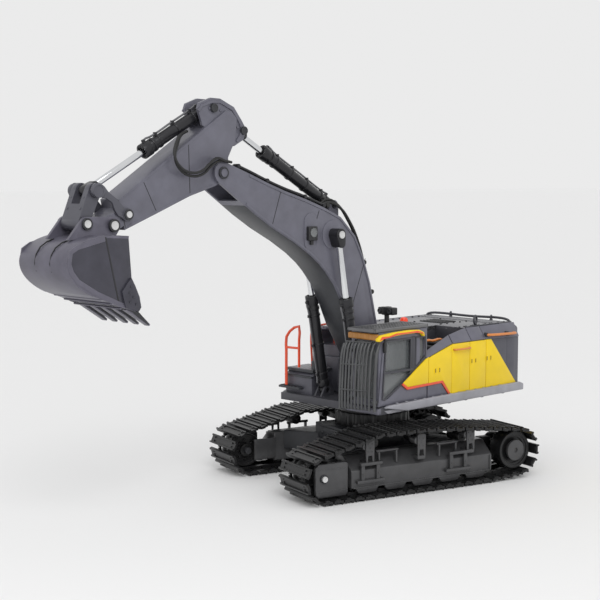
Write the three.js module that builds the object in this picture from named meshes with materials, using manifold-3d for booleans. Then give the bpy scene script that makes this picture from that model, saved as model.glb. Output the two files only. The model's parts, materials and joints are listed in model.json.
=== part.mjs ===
// Toy excavator on crawler tracks: undercarriage, swinging house and three-piece digging arm.
// Millimetres, +X forwards along the tracks, +Y to the left, +Z up.
// Every sub-part is a closed solid of its own.
import * as THREE from 'three';
import { mergeVertices } from 'three/addons/utils/BufferGeometryUtils.js';
import Module from 'manifold-3d';

const wasm = await Module();
wasm.setup();

// ---- fits ----
const gap = 0.35;             // between pieces that touch or turn beside each other
const pinFit = 0.35;          // round a pin in its hole, and round a rod in its barrel
const roundSides = 14;        // sides on a small round piece
const wideSides = 24;         // sides on a large one

// ---- undercarriage ----
const wheelbase = 250;        // idler axle to sprocket axle
const gauge = 162.5;          // middle of one track to the middle of the other
const shoeWidth = 57.8;
const shoeCount = 49;         // shoes on each track
const linkHeight = 5;         // inside of the belt to the outside of its shoe plates
const grouserHeight = 2.2;    // bar standing out of each shoe
const idlerRadius = 19;
const sprocketRadius = 18;
const sprocketTeeth = 15;
const toothDepth = 4;
const sprocketLift = 3.5;     // how far the sprocket end of the belt is off the ground
const groundRollerX = -84;    // where the lower run leaves the ground
const topRollerRadius = 6;
const rollerPin = 2;
const topRollerSpacing = 58;
const topRunInside = 62;      // height of the inside of the upper run over its middle roller
const wheelWidth = 22;        // idler, sprocket and top rollers
const frameHalfThickness = 15;
const frameBottom = 14;
const frameTop = 44.5;
const axleRadius = 4;
const capReach = 21.5;        // middle of a track to the face of its axle caps
const slewRadius = 42;
const slewBottom = 58;
const slewTop = 83.5;
const slewTeeth = 24;
const slewNotch = 2.4;
const slewBore = 27;
const bodyHeight = 17;        // depth of the centre box of the chassis
const chassisHalfLength = 52;

// ---- house ----
const restSwing = 14.4;       // degrees that the house stands swung to the left
const deckBottom = 84;
const deckThickness = 8;
const houseHalfWidth = 75;
const houseRear = -186;
const houseFront = 71;
const cornerRadius = 22;      // rear corners of the house
const shellWall = 3;
const shellLip = 12;          // flat margin of the side panels on top
const shellTop = 164;
const shellShoulder = 150;    // where the side starts to lean in
const shoulderInset = 10;
const cabInner = 34;          // right wall of the cab, to the left of the arm
const cabRear = -8;
const cabTop = 172;
const cabWall = 2.4;
const counterweightFront = -150;
const guardBars = 7;
const railRadius = 1.7;

// ---- digging arm, in the plane of the arm: [forwards, up] ----
const boomFoot = [9, 119];
const boomTip = [238, 339];
const boomHalfWidth = 18;
const boomWall = 2.4;
const bends = 13;             // flats along each edge of the boom
const forkRadius = 36;        // how deep the tip of the boom is slotted for the stick
const pinRadius = 4;
const linkPinRadius = 3;      // rocker pin and link pin
const boomEye = [84, 274];    // rods of the two boom cylinders
const boomBase = [51, 98];
const stickBase = [70, 304];  // barrel of the stick cylinder
const stickEye = [206, 381];
const stickHalfWidth = 14.6;
const stickWall = 2.2;
const cheekHalfGap = 8.6;     // room for the two cylinders between the tail plates of the stick
const cheekThickness = 3;
const bucketPin = [372, 290.7];
const rockerPin = [355, 300.4];
const linkPin = [401.6, 292.7];
const linkTop = [388.5, 322.4];
const bucketBase = [245, 402];
const bucketHalfWidth = 37.5;
const bucketWall = 2.4;
const teeth = 5;
const toothHalf = 3.5;
const barrelRadius = 6.4;
const rodRadius = 3.3;
const boomGland = 109;        // base eye to the mouth of each barrel
const stickGland = 116;
const bucketGland = 90;
const boomRodInside = 62;     // length of rod inside its barrel at rest
const stickRodInside = 72;
const bucketRodInside = 42;
const barrelFloor = 9;        // base eye to the closed end of the bore
const plateThickness = 3.2;   // rockers and bucket ears
const basePinRadius = 2.8;    // pins on the barrels of all four cylinders
const barrelBoss = 5.2;
const collarStep = 1.2;       // how far the collar at the mouth stands out of its barrel
const collarLength = 9;
const cylinderClearance = 0.4;
const boomCylinderY = boomHalfWidth + barrelRadius + collarStep + cylinderClearance;
const hoseRadius = 1.5;       // two oil pipes clipped along the top of the boom
const hoseY = [11, 14.6];
const clipRadius = 2.2;

// ---- solids ----
const toSolid = (geometry) => {
  const bare = geometry.index ? geometry.toNonIndexed() : geometry.clone();
  bare.deleteAttribute('normal');
  bare.deleteAttribute('uv');
  const merged = mergeVertices(bare, 1e-4);
  return new wasm.Manifold(new wasm.Mesh({
    numProp: 3,
    vertProperties: new Float32Array(merged.attributes.position.array),
    triVerts: new Uint32Array(merged.index.array),
  }));
};

const toGeometry = (solid) => {
  const mesh = solid.getMesh();
  const geometry = new THREE.BufferGeometry();
  geometry.setAttribute('position', new THREE.BufferAttribute(mesh.vertProperties, 3));
  geometry.setIndex(new THREE.BufferAttribute(mesh.triVerts, 1));
  return geometry;
};

const join = (...solids) => solids.reduce((sum, solid) => sum.add(solid));
const cut = (solid, ...tools) => tools.reduce((rest, tool) => rest.subtract(tool), solid);

// A box between two corners, given as its range on each axis.
const box = ([x0, x1], [y0, y1], [z0, z1]) => toSolid(
  new THREE.BoxGeometry(x1 - x0, y1 - y0, z1 - z0)
    .translate((x0 + x1) / 2, (y0 + y1) / 2, (z0 + z1) / 2));

// A round bar across the machine, between two places on Y.
const crossBar = ([x, z], radius, [y0, y1], sides = roundSides) => toSolid(
  new THREE.CylinderGeometry(radius, radius, y1 - y0, sides).translate(x, (y0 + y1) / 2, z));

// An upright round bar.
const post = ([x, y], radius, [z0, z1], sides = roundSides) => toSolid(
  new THREE.CylinderGeometry(radius, radius, z1 - z0, sides)
    .rotateX(Math.PI / 2).translate(x, y, (z0 + z1) / 2));

// A plate standing in the plane of the arm: its outline is [x, z] and it spans y0 to y1.
const plate = (outline, [y0, y1], holes = []) => {
  const shape = new THREE.Shape(outline.map(([x, z]) => new THREE.Vector2(x, z)));
  shape.holes = holes.map((hole) => new THREE.Path(hole.map(([x, z]) => new THREE.Vector2(x, z))));
  const geometry = new THREE.ExtrudeGeometry(shape, { depth: y1 - y0, bevelEnabled: false });
  return toSolid(geometry.rotateX(Math.PI / 2).translate(0, y1, 0));
};

// A plate lying flat: its outline is [x, y] and it spans z0 to z1.
const slab = (outline, [z0, z1]) => {
  const shape = new THREE.Shape(outline.map(([x, y]) => new THREE.Vector2(x, y)));
  const geometry = new THREE.ExtrudeGeometry(shape, { depth: z1 - z0, bevelEnabled: false });
  return toSolid(geometry.translate(0, 0, z0));
};

// A profile [y, z] run along X.
const rail = (profile, [x0, x1]) => {
  const shape = new THREE.Shape(profile.map(([y, z]) => new THREE.Vector2(y, z)));
  const geometry = new THREE.ExtrudeGeometry(shape, { depth: x1 - x0, bevelEnabled: false });
  geometry.applyMatrix4(new THREE.Matrix4().makeBasis(
    new THREE.Vector3(0, 1, 0), new THREE.Vector3(0, 0, 1), new THREE.Vector3(1, 0, 0)));
  return toSolid(geometry.translate(x0, 0, 0));
};

// A round tube bent along a list of points.
const bentTube = (points, radius, sides = 6, steps = 16) => {
  const knots = points.map(([x, y, z]) => new THREE.Vector3(x, y, z));
  const path = new THREE.CatmullRomCurve3(knots, false, 'centripetal');
  const section = new THREE.Shape();
  for (let i = 0; i < sides; i += 1) {
    const turn = 2 * Math.PI * i / sides;
    section[i ? 'lineTo' : 'moveTo'](radius * Math.cos(turn), radius * Math.sin(turn));
  }
  return toSolid(new THREE.ExtrudeGeometry(section, { steps, bevelEnabled: false, extrudePath: path }));
};

// ---- outlines in a plane ----
const circlePoints = ([x, z], radius, sides = wideSides) => Array.from({ length: sides }, (_, i) => {
  const turn = 2 * Math.PI * i / sides;
  return [x + radius * Math.cos(turn), z + radius * Math.sin(turn)];
});

// The tight loop of string round a set of points, counter-clockwise.
const hull = (points) => {
  const sorted = [...points].sort((a, b) => a[0] - b[0] || a[1] - b[1]);
  const side = (a, b, c) => (b[0] - a[0]) * (c[1] - a[1]) - (b[1] - a[1]) * (c[0] - a[0]);
  const half = (list) => {
    const chain = [];
    for (const point of list) {
      while (chain.length > 1 && side(chain.at(-2), chain.at(-1), point) <= 1e-6) chain.pop();
      chain.push(point);
    }
    return chain.slice(0, -1);
  };
  return [...half(sorted), ...half(sorted.reverse())];
};

// The hull of circles, each {at, radius}.
const strap = (circles, extra = 0, sides = roundSides) => hull(
  circles.flatMap(({ at, radius }) => circlePoints(at, radius + extra, sides)));

const between = (a, b) => Math.hypot(b[0] - a[0], b[1] - a[1]);
const angleOf = (a, b) => Math.atan2(b[1] - a[1], b[0] - a[0]);

// A place given along and above the line from one pin to another, both in millimetres.
const along = (from, to, u, v) => {
  const angle = angleOf(from, to);
  return [
    from[0] + u * Math.cos(angle) - v * Math.sin(angle),
    from[1] + u * Math.sin(angle) + v * Math.cos(angle)];
};

// ---- materials and nodes ----
const finishes = {
  slate: { color: 0x5f5d69, roughness: 0.45, metalness: 0.35 },
  charcoal: { color: 0x34363a, roughness: 0.5, metalness: 0.3 },
  black: { color: 0x1d1e20, roughness: 0.4, metalness: 0.4 },
  rubber: { color: 0x17181a, roughness: 0.7, metalness: 0 },
  chrome: { color: 0xd5d8da, roughness: 0.12, metalness: 1 },
  yellow: { color: 0xf2cf08, roughness: 0.35, metalness: 0.1 },
  orange: { color: 0xe0401c, roughness: 0.4, metalness: 0 },
  amber: { color: 0xf0a020, roughness: 0.3, metalness: 0 },
  glass: { color: 0x6c7174, roughness: 0.1, metalness: 0 },
  green: { color: 0x1f6a3a, roughness: 0.5, metalness: 0.1 },
  blue: { color: 0x2a4f8f, roughness: 0.5, metalness: 0 },
};

const model = new THREE.Group();
const house = new THREE.Group();
house.rotation.z = THREE.MathUtils.degToRad(restSwing);
model.add(house);

const node = (name, finish, solid, parent = model) => {
  const mesh = new THREE.Mesh(toGeometry(solid), new THREE.MeshStandardMaterial(finishes[finish]));
  mesh.name = name;
  parent.add(mesh);
  return mesh;
};

// Turns a round solid made about the Z axis so that it runs along an angle in the plane of the arm.
const aim = (geometry, from, angle, y) => geometry
  .rotateY(Math.PI / 2 - angle)
  .translate(from[0], y, from[1]);

// ---- undercarriage ----
const idlerAt = [wheelbase / 2, idlerRadius + gap + linkHeight + grouserHeight];
const sprocketTip = sprocketRadius + toothDepth / 2;
const sprocketAt = [-wheelbase / 2, sprocketTip + gap + linkHeight + grouserHeight + sprocketLift];
const topRollerX = [-1, 0, 1].map((step) => step * topRollerSpacing);
const topRollerAt = topRollerX.map((x, i) => [x, topRunInside - topRollerRadius - gap - (i === 0 ? 4 : 0)]);

const beltCircles = [
  { at: idlerAt, radius: idlerRadius + gap },
  { at: sprocketAt, radius: sprocketTip + gap },
  { at: [groundRollerX, idlerAt[1]], radius: idlerRadius + gap },
  ...topRollerAt.map((at) => ({ at, radius: topRollerRadius + gap })),
];

// Points at even steps round a closed outline, each with its outward direction.
const walkLoop = (loop, count) => {
  const path = new THREE.CurvePath();
  loop.forEach(([x, z], i) => {
    const next = loop[(i + 1) % loop.length];
    path.add(new THREE.LineCurve(new THREE.Vector2(x, z), new THREE.Vector2(...next)));
  });
  return Array.from({ length: count }, (_, i) => {
    const place = path.getPointAt(i / count);
    const heading = path.getTangentAt(i / count);
    return { place, out: new THREE.Vector2(heading.y, -heading.x) };
  });
};

const trackBelt = (middle) => {
  const inside = strap(beltCircles, 0, wideSides);
  const shoes = walkLoop(strap(beltCircles, linkHeight, 40), shoeCount * 3);
  const outline = shoes.map(({ place, out }, i) => {
    const height = i % 3 ? grouserHeight : 0;
    return [place.x + out.x * height, place.y + out.y * height];
  });
  return plate(outline, [middle - shoeWidth / 2, middle + shoeWidth / 2], [inside]);
};

const toothedWheel = (at, [y0, y1]) => {
  const outline = Array.from({ length: sprocketTeeth * 4 }, (_, i) => {
    const radius = sprocketRadius + (i % 4 < 2 ? toothDepth / 2 : -toothDepth / 2);
    const turn = 2 * Math.PI * (i + 0.5) / (sprocketTeeth * 4);
    return [at[0] + radius * Math.cos(turn), at[1] + radius * Math.sin(turn)];
  });
  return plate(outline, [y0, y1]);
};

// The long frame between the two wheels, with a fork for the idler and a boss for the final drive.
const sideFrame = (middle) => {
  const rear = sprocketAt[0] + sprocketTip + 4;
  const front = idlerAt[0] - idlerRadius - 4;
  const span = [middle - frameHalfThickness, middle + frameHalfThickness];
  const outline = [
    [rear, frameBottom + 10], [rear + 10, frameBottom], [front - 4, frameBottom],
    [front, frameBottom + 4], [front, frameTop - 8], [front - 12, frameTop],
    [rear + 12, frameTop], [rear, frameTop - 8],
  ];
  const tip = idlerAt[0] + axleRadius + 4;
  const forks = [1, -1].map((side) => {
    const inner = middle + side * (wheelWidth / 2 + gap);
    const outer = middle + side * (frameHalfThickness + 2);
    return plate(hull([
      ...circlePoints(idlerAt, tip - idlerAt[0], roundSides),
      [front - 18, idlerAt[1] - 9], [front - 18, idlerAt[1] + 9],
    ]), [Math.min(inner, outer), Math.max(inner, outer)]);
  });
  const brackets = topRollerAt.map(([x, z]) => box(
    [x - 4, x + 4], [middle - wheelWidth / 2 - 3, middle - wheelWidth / 2 - gap], [frameTop - 1, z + 3]));
  const farBrackets = topRollerAt.map(([x, z]) => box(
    [x - 4, x + 4], [middle + wheelWidth / 2 + gap, middle + wheelWidth / 2 + 3], [frameTop - 1, z + 3]));
  const body = join(plate(outline, span), ...forks, ...brackets, ...farBrackets);
  const holes = [idlerAt, ...topRollerAt].map((at, i) => crossBar(
    at, (i ? rollerPin : axleRadius) + pinFit, [middle - 40, middle + 40], 10));
  return cut(body, ...holes);
};

for (const [side, sign] of [['left', 1], ['right', -1]]) {
  const middle = sign * gauge / 2;
  const out = (distance) => middle + sign * distance;
  const across = (a, b) => [Math.min(out(a), out(b)), Math.max(out(a), out(b))];

  node(`${side}_track_belt`, 'black', trackBelt(middle));
  node(`${side}_side_frame`, 'charcoal', sideFrame(middle));
  node(`${side}_idler_wheel`, 'black', cut(
    crossBar(idlerAt, idlerRadius, across(-wheelWidth / 2, wheelWidth / 2), wideSides),
    crossBar(idlerAt, axleRadius + pinFit, across(-wheelWidth, wheelWidth))));
  node(`${side}_idler_axle`, 'charcoal', join(
    crossBar(idlerAt, axleRadius, across(-frameHalfThickness - 4, capReach)),
    crossBar(idlerAt, axleRadius + 5, across(frameHalfThickness + 2 + gap, capReach))));
  node(`${side}_drive_sprocket`, 'black', cut(
    join(
      toothedWheel(sprocketAt, across(-wheelWidth / 2, wheelWidth / 2)),
      crossBar(sprocketAt, sprocketRadius - toothDepth, across(0, capReach), wideSides)),
    crossBar(sprocketAt, axleRadius + pinFit, across(-wheelWidth, wheelWidth / 2))));
  const driveReach = frameHalfThickness + 8;
  node(`${side}_final_drive`, 'charcoal', join(
    crossBar(sprocketAt, 15, across(-driveReach, -wheelWidth / 2 - gap), wideSides),
    crossBar(sprocketAt, axleRadius, across(-driveReach, wheelWidth / 2 - 1)),
    box([sprocketAt[0], sprocketAt[0] + sprocketTip + 3.6], across(-driveReach, -wheelWidth / 2 - gap),
      [sprocketAt[1] - 11, sprocketAt[1] + 11])));
  topRollerAt.forEach((at, i) => {
    const place = ['rear', 'middle', 'front'][i];
    node(`${side}_${place}_top_roller`, 'black', join(
      crossBar(at, topRollerRadius, across(-wheelWidth / 2 + gap, wheelWidth / 2 - gap)),
      crossBar(at, rollerPin, across(-wheelWidth / 2 - 3, wheelWidth / 2 + 3), 8)));
  });
}

// Centre of the chassis: a flat box with four legs reaching the side frames, and the seat of the slew ring.
const chassisTop = slewBottom - gap;
const legReach = gauge / 2 - frameHalfThickness - gap;
const chassisBox = box(
  [-chassisHalfLength, chassisHalfLength], [-38, 38], [chassisTop - bodyHeight, chassisTop]);
const legs = [[1, 1], [1, -1], [-1, 1], [-1, -1]].map(([sx, sy]) => slab(hull([
  [sx * 12, sy * 30], [sx * (chassisHalfLength - 2), sy * 30],
  [sx * 78, sy * legReach], [sx * 40, sy * legReach],
]), [frameBottom + 10, chassisTop - 12]));
node('chassis_frame', 'charcoal', cut(
  join(chassisBox, ...legs, box([-44, 44], [-34, 34], [frameBottom + 8, chassisTop - bodyHeight + 1])),
  post([0, 0], slewBore - 4, [0, slewTop], wideSides)));

const slewOutline = Array.from({ length: slewTeeth * 4 }, (_, i) => {
  const radius = slewRadius - (i % 4 < 2 ? 0 : slewNotch);
  const turn = 2 * Math.PI * i / (slewTeeth * 4);
  return [radius * Math.cos(turn), radius * Math.sin(turn)];
});
node('slew_ring', 'black', cut(
  join(
    slab(slewOutline, [slewBottom, slewTop - 10]),
    post([0, 0], slewRadius - 5, [slewTop - 11, slewTop], wideSides)),
  post([0, 0], slewBore, [slewBottom - 1, slewTop + 1], wideSides)));

// ---- house ----
const deckTop = deckBottom + deckThickness;
const rearCorners = [1, -1].flatMap((side) => circlePoints(
  [houseRear + cornerRadius, side * (houseHalfWidth - cornerRadius)], cornerRadius, wideSides));
const baseLugThickness = 2.4;
const outriggerY = [boomCylinderY - 6.2, boomCylinderY + 5.6];
const lug = (at, y0, y1, foot) => plate(strap([
  { at, radius: 6.5 }, { at: [at[0] - 9, foot], radius: 2 }, { at: [at[0] + 9, foot], radius: 2 },
]), [y0, y1]);
const footLugs = [1, -1].map((side) => {
  const inner = boomHalfWidth - boomWall;
  return [side * inner, side * (inner - 5)].sort((a, b) => a - b);
}).map(([y0, y1]) => plate(strap([
  { at: boomFoot, radius: 9 }, { at: [boomFoot[0] - 18, deckTop - 2], radius: 1 },
  { at: [boomFoot[0] + 18, deckTop - 2], radius: 1 },
]), [y0, y1]));
const baseLugs = [1, -1].flatMap((side) => outriggerY.flatMap((y, i) => {
  const other = y + (i ? -baseLugThickness : baseLugThickness);
  const [y0, y1] = [side * y, side * other].sort((a, b) => a - b);
  return [lug(boomBase, y0, y1, deckTop - 1)];
}));
node('house_deck', 'charcoal', cut(
  join(
    slab(hull([[houseFront, houseHalfWidth], [houseFront, -houseHalfWidth], ...rearCorners]),
      [deckBottom, deckTop]),
    ...footLugs, ...baseLugs),
  crossBar(boomFoot, pinRadius + pinFit, [-40, 40]),
  crossBar(boomBase, basePinRadius + pinFit, [-60, 60]),
  post([0, 0], 9, [deckBottom - 1, deckTop + 1])), house);

// Side shells: upright below, leaning in at the shoulder, and cut away in front.
const shellSection = (sign) => [
  [houseHalfWidth, deckTop + gap], [houseHalfWidth, shellShoulder],
  [houseHalfWidth - shoulderInset, shellTop],
  [houseHalfWidth - shoulderInset - shellLip, shellTop],
  [houseHalfWidth - shoulderInset - shellLip, shellTop - shellWall],
  [houseHalfWidth - shoulderInset - 2, shellTop - shellWall],
  [houseHalfWidth - shellWall, shellShoulder - 1],
  [houseHalfWidth - shellWall, deckTop + gap],
].map(([y, z]) => [sign * y, z]);
const shellRear = counterweightFront + gap;
node('left_side_panel', 'yellow', rail(shellSection(1), [shellRear, cabRear - gap]), house);
node('right_side_panel', 'yellow', rail(shellSection(-1).reverse(), [shellRear, 20]), house);

const weightOutline = hull([
  [counterweightFront, houseHalfWidth], [counterweightFront, -houseHalfWidth],
  ...rearCorners.filter(([x]) => x < counterweightFront),
]);
node('counterweight', 'slate', slab(weightOutline, [deckTop + gap, shellTop]), house);

const hoodHalf = houseHalfWidth - shoulderInset - shellLip - gap;
node('engine_hood', 'slate', join(
  box([shellRear, -24], [-hoodHalf, hoodHalf], [shellTop - 5, shellTop]),
  box([-112, -44], [-26, 26], [shellTop - 1, shellTop + 3]),
  box([-138, -120], [-40, 40], [shellTop - 1, shellTop + 2])), house);

// Cab: a hollow shell open below, with window openings left, right, front and rear.
const cabRange = [cabInner, houseHalfWidth - 1];
const windowBottom = 112;
const windowTop = 162;
const cabMiddle = (cabRange[0] + cabRange[1]) / 2;
node('cab_shell', 'slate', cut(
  box([cabRear, houseFront], cabRange, [deckTop + gap, cabTop]),
  box([cabRear + cabWall, houseFront - cabWall], [cabRange[0] + cabWall, cabRange[1] - cabWall],
    [deckTop - 1, cabTop - cabWall]),
  plate([[62, windowTop], [62, 100], [56, 100], [30, 116], [10, 118], [10, windowTop]],
    [cabRange[1] - cabWall - 1, cabRange[1] + 1]),
  plate([[4, windowTop], [4, 134], [-3, 138], [-3, windowTop]],
    [cabRange[1] - cabWall - 1, cabRange[1] + 1]),
  box([10, 60], [cabRange[0] - 1, cabRange[0] + cabWall + 1], [windowBottom + 8, windowTop]),
  box([houseFront - cabWall - 1, houseFront + 1], [cabRange[0] + 5, cabRange[1] - 5], [100, windowTop]),
  box([cabRear - 1, cabRear + cabWall + 1], [cabRange[0] + 6, cabRange[1] - 6],
    [shellTop - 30, shellTop - 4])), house);
const paneDepth = 1;
const paneSide = cabRange[1] - cabWall - gap;
node('left_cab_glass', 'glass', box([cabRear + cabWall + 1, houseFront - cabWall - 2.5],
  [paneSide - paneDepth, paneSide], [98, windowTop + 3]), house);
node('front_cab_glass', 'glass', box([houseFront - cabWall - gap - paneDepth, houseFront - cabWall - gap],
  [cabRange[0] + cabWall + 1, cabRange[1] - cabWall - 2.5], [97, windowTop + 3]), house);
node('operator_seat', 'black', join(
  box([12, 34], [cabMiddle - 10, cabMiddle + 10], [deckTop + gap, 112]),
  box([10, 16], [cabMiddle - 9, cabMiddle + 9], [111, 138]),
  box([11, 15], [cabMiddle - 6, cabMiddle + 6], [137, 147])), house);

// Barred guard in front of the cab, and the mesh guard on its roof.
const guardWidth = [boomCylinderY + barrelRadius + collarStep + 1, houseHalfWidth - 2];
const barPitch = (guardWidth[1] - guardWidth[0] - 2) / guardBars;
const guardSlots = Array.from({ length: guardBars }, (_, i) => {
  const y = guardWidth[0] + 2 + i * barPitch;
  return [[98, 126], [128, 156]].map((z) => box([houseFront, houseFront + 9], [y, y + barPitch - 2], z));
}).flat();
node('front_guard', 'charcoal', cut(
  box([houseFront + gap + 2, houseFront + gap + 4.5], guardWidth, [deckTop + gap, 160]),
  ...guardSlots), house);
node('roof_guard', 'charcoal', join(
  box([cabRear, houseFront + 5], [cabInner + 1, houseHalfWidth], [cabTop + gap, cabTop + 2]),
  ...[0, 1, 2, 3, 4].map((i) => box([cabRear, houseFront + 5],
    [cabInner + 1 + i * 9, cabInner + 3 + i * 9], [cabTop + 1, cabTop + 4.5]))), house);
const lampZ = [windowTop + 2, cabTop - 2];
node('roof_light_bar', 'amber', join(
  box([houseFront + gap, houseFront + 5], [cabInner, houseHalfWidth + 3], lampZ),
  box([12, houseFront + 5], [houseHalfWidth - 1 + gap, houseHalfWidth + 3], lampZ)), house);
node('beacon', 'orange', toSolid(new THREE.LatheGeometry([
  [0, 0], [6, 0], [6, 3], [4.5, 3], [4.2, 8], [2.5, 11], [0, 12],
].map(([x, y]) => new THREE.Vector2(x, y)), roundSides).rotateX(Math.PI / 2)
  .translate(-40, 12, shellTop + 3 + gap)), house);
node('camera_box', 'black', join(
  box([-20.5, -11], [16, 30], [shellTop + 16, shellTop + 26]),
  post([-16, 23], 2.6, [shellTop - 30, shellTop + 17], 12),
  box([-23.9, -9], [15, 31], [shellTop - 34, shellTop - 29])), house);

// Right front: tank box with a step, and the tall grab rails.
const tankRange = [-houseHalfWidth - 2, -38];
node('tank_box', 'slate', join(
  plate([
    [22, deckTop + gap], [62, deckTop + gap], [63, 114], [58, 120], [44, 122], [36, 140], [22, 142],
  ], tankRange),
  box([60, 68], [tankRange[0] - 4, tankRange[1] - 8], [97, 99.5])), house);
const railY = [tankRange[0] + 5, tankRange[1] - 17];
node('front_grab_rail', 'orange', join(
  bentTube([[65.6, railY[0], 100.5], [65.4, railY[0], 135], [64, railY[0], 157], [62, railY[1], 168],
    [62, railY[1], 150], [62, railY[1], 121.5]], railRadius),
  bentTube([[65, railY[0], 143], [62.3, railY[1], 143]], railRadius * 0.8, 6, 1)), house);
const deckRailY = -houseHalfWidth + shoulderInset + 5;
const deckRailFoot = shellTop + gap + 0.2;
node('deck_grab_rail', 'orange', bentTube([
  [18, deckRailY, deckRailFoot], [18, deckRailY, shellTop + 17.2], [-4, deckRailY, shellTop + 19.2],
  [-26, deckRailY, shellTop + 17.2], [-26, deckRailY, deckRailFoot]], railRadius), house);

// What the house holds: battery, receiver board and the motor that swings it.
node('battery_pack', 'blue', box([-138, -70], [-32, 32], [deckTop + gap, deckTop + 32]), house);
node('receiver_board', 'green', join(
  box([-136, -60], [-30, 30], [deckTop + 40, deckTop + 42]),
  box([-120, -100], [-20, 6], [deckTop + 41, deckTop + 50])), house);
const motorAt = [-48, 0];
node('swing_motor', 'charcoal', cut(
  join(post(motorAt, 13, [deckTop + gap, deckTop + 34], wideSides),
    box([motorAt[0] - 12, motorAt[0] + 12], [-16, 16], [deckTop + gap, deckTop + 4])),
  post(motorAt, 4, [deckTop + 30, deckTop + 40])), house);

// ---- arm ----
// An arm member between two pins: stations give the place along and above the line of the pins,
// as shares of its length, and the depth of the member there.
const member = (from, to, stations, inset = 0) => {
  const length = between(from, to);
  const spots = stations.map(([u, v, depth]) => {
    const [x, z] = along(from, to, u * length, v * length);
    return new THREE.Vector3(x, z, depth / 2 - inset);
  });
  const curve = new THREE.CatmullRomCurve3(spots, false, 'centripetal');
  const samples = Array.from({ length: bends + 1 }, (_, i) => (
    { at: curve.getPoint(i / bends), run: curve.getTangent(i / bends) }));
  const edge = (side) => samples.map(({ at, run }) => {
    const heading = Math.atan2(run.y, run.x) + side * Math.PI / 2;
    return [at.x + at.z * Math.cos(heading), at.y + at.z * Math.sin(heading)];
  });
  return [...edge(-1), ...edge(1).reverse()];
};
const boomStations = [
  [0, 0, 20], [0.188, 0.077, 42], [0.342, 0.147, 53], [0.473, 0.17, 60], [0.603, 0.137, 51],
  [0.771, 0.071, 40], [0.906, 0.029, 30], [1, 0, 22],
];
const disc = (at, radius, span, sides) => crossBar(at, radius, span, sides);
const boomSpan = [-boomHalfWidth, boomHalfWidth];
const boomInside = [-boomHalfWidth + boomWall, boomHalfWidth - boomWall];
const stickRoom = [-stickHalfWidth - gap, stickHalfWidth + gap];
const footRoom = boomHalfWidth - boomWall + gap;
const clevis = (at, foot, spans) => spans.map((span) => plate(strap([
  { at, radius: 6.5 }, { at: foot[0], radius: 2 }, { at: foot[1], radius: 2 },
]), span));
// A round bar laid along the line from one place to another in the plane of the arm.
const bar = (from, to, [start, end], radius, y = 0) => toSolid(aim(
  new THREE.CylinderGeometry(radius, radius, end - start, roundSides)
    .rotateX(Math.PI / 2).translate(0, 0, (start + end) / 2), from, angleOf(from, to), y));
const stickBaseFoot = [[stickBase[0] - 5, stickBase[1] - 20], [stickBase[0] + 10, stickBase[1] - 17]];
node('boom', 'slate', cut(
  join(
    plate(member(boomFoot, boomTip, boomStations), boomSpan),
    disc(boomFoot, 10, boomSpan), disc(boomTip, 11, boomSpan),
    ...clevis(stickBase, stickBaseFoot, [[4, 7], [-7, -4]])),
  plate(member(boomFoot, boomTip, boomStations, boomWall), boomInside),
  disc(boomTip, forkRadius, stickRoom, wideSides),
  disc(boomFoot, 22, [-footRoom, footRoom], wideSides),
  plate(strap([{ at: stickBase, radius: 9 }]), [-4, 4]),
  bar(stickBase, stickEye, [9 + gap, stickGland], barrelRadius + gap),
  disc(boomFoot, pinRadius + pinFit, [-30, 30]),
  disc(boomTip, pinRadius + pinFit, [-30, 30]),
  disc(stickBase, basePinRadius + pinFit, [-10, 10])), house);

// Oil pipes over the top of the boom, from the knee to the tip, held by three clips.
const boomEdge = member(boomFoot, boomTip, boomStations, -gap - clipRadius - 0.5);
const hoseRoute = boomEdge.slice(bends + 2, 2 * bends - 5);
const hoseClips = [hoseRoute[0], hoseRoute[4], hoseRoute.at(-1)];
node('boom_hose', 'rubber', join(
  bentTube(hoseRoute.map(([x, z]) => [x, hoseY[0], z]), hoseRadius),
  bentTube(hoseRoute.map(([x, z]) => [x, hoseY[1], z]), hoseRadius),
  ...hoseClips.map((at) => disc(at, clipRadius, [hoseY[0] - 2, hoseY[1] + 2]))), house);

// Stick: a box from the boom tip to the bucket, with two tail plates for the cylinders.
const onStick = (u, v) => along(boomTip, bucketPin, u, v);
const stickLength = between(boomTip, bucketPin);
const stickOutline = [
  [stickLength - 17, 18.8], [52.7, 35.8], [-27, 54.9], [-34, 52.1], [-38, 43.1], [-28.4, 23.7], [-14, 11],
  [-8, -8], [12.2, -9.5], [45.4, -7.6], [90, -8.8], [stickLength - 13, -9.7],
].map(([u, v]) => onStick(u, v));
const stickInner = [
  [stickLength - 26, 14], [52.7, 32.4], [-40, 54.2], [-40, 20], [-12, 12.4], [10, 9], [20, -5], [90, -5.6],
  [stickLength - 26, -6],
].map(([u, v]) => onStick(u, v));
const tailOutline = hull([
  [4, 50], [4.1, 67.3], [0.2, 71.8], [-15.2, 72], [-26.5, 67.5], [-40.9, 54.2], [-46.4, 38.1], [-49, 28.4],
  [-42, 20], [-28, 18],
].map(([u, v]) => onStick(u, v)));
const cheekSpans = [1, -1].map((side) => [
  side * cheekHalfGap, side * (cheekHalfGap + cheekThickness)].sort((a, b) => a - b));
const stickSpan = [-stickHalfWidth, stickHalfWidth];
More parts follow.
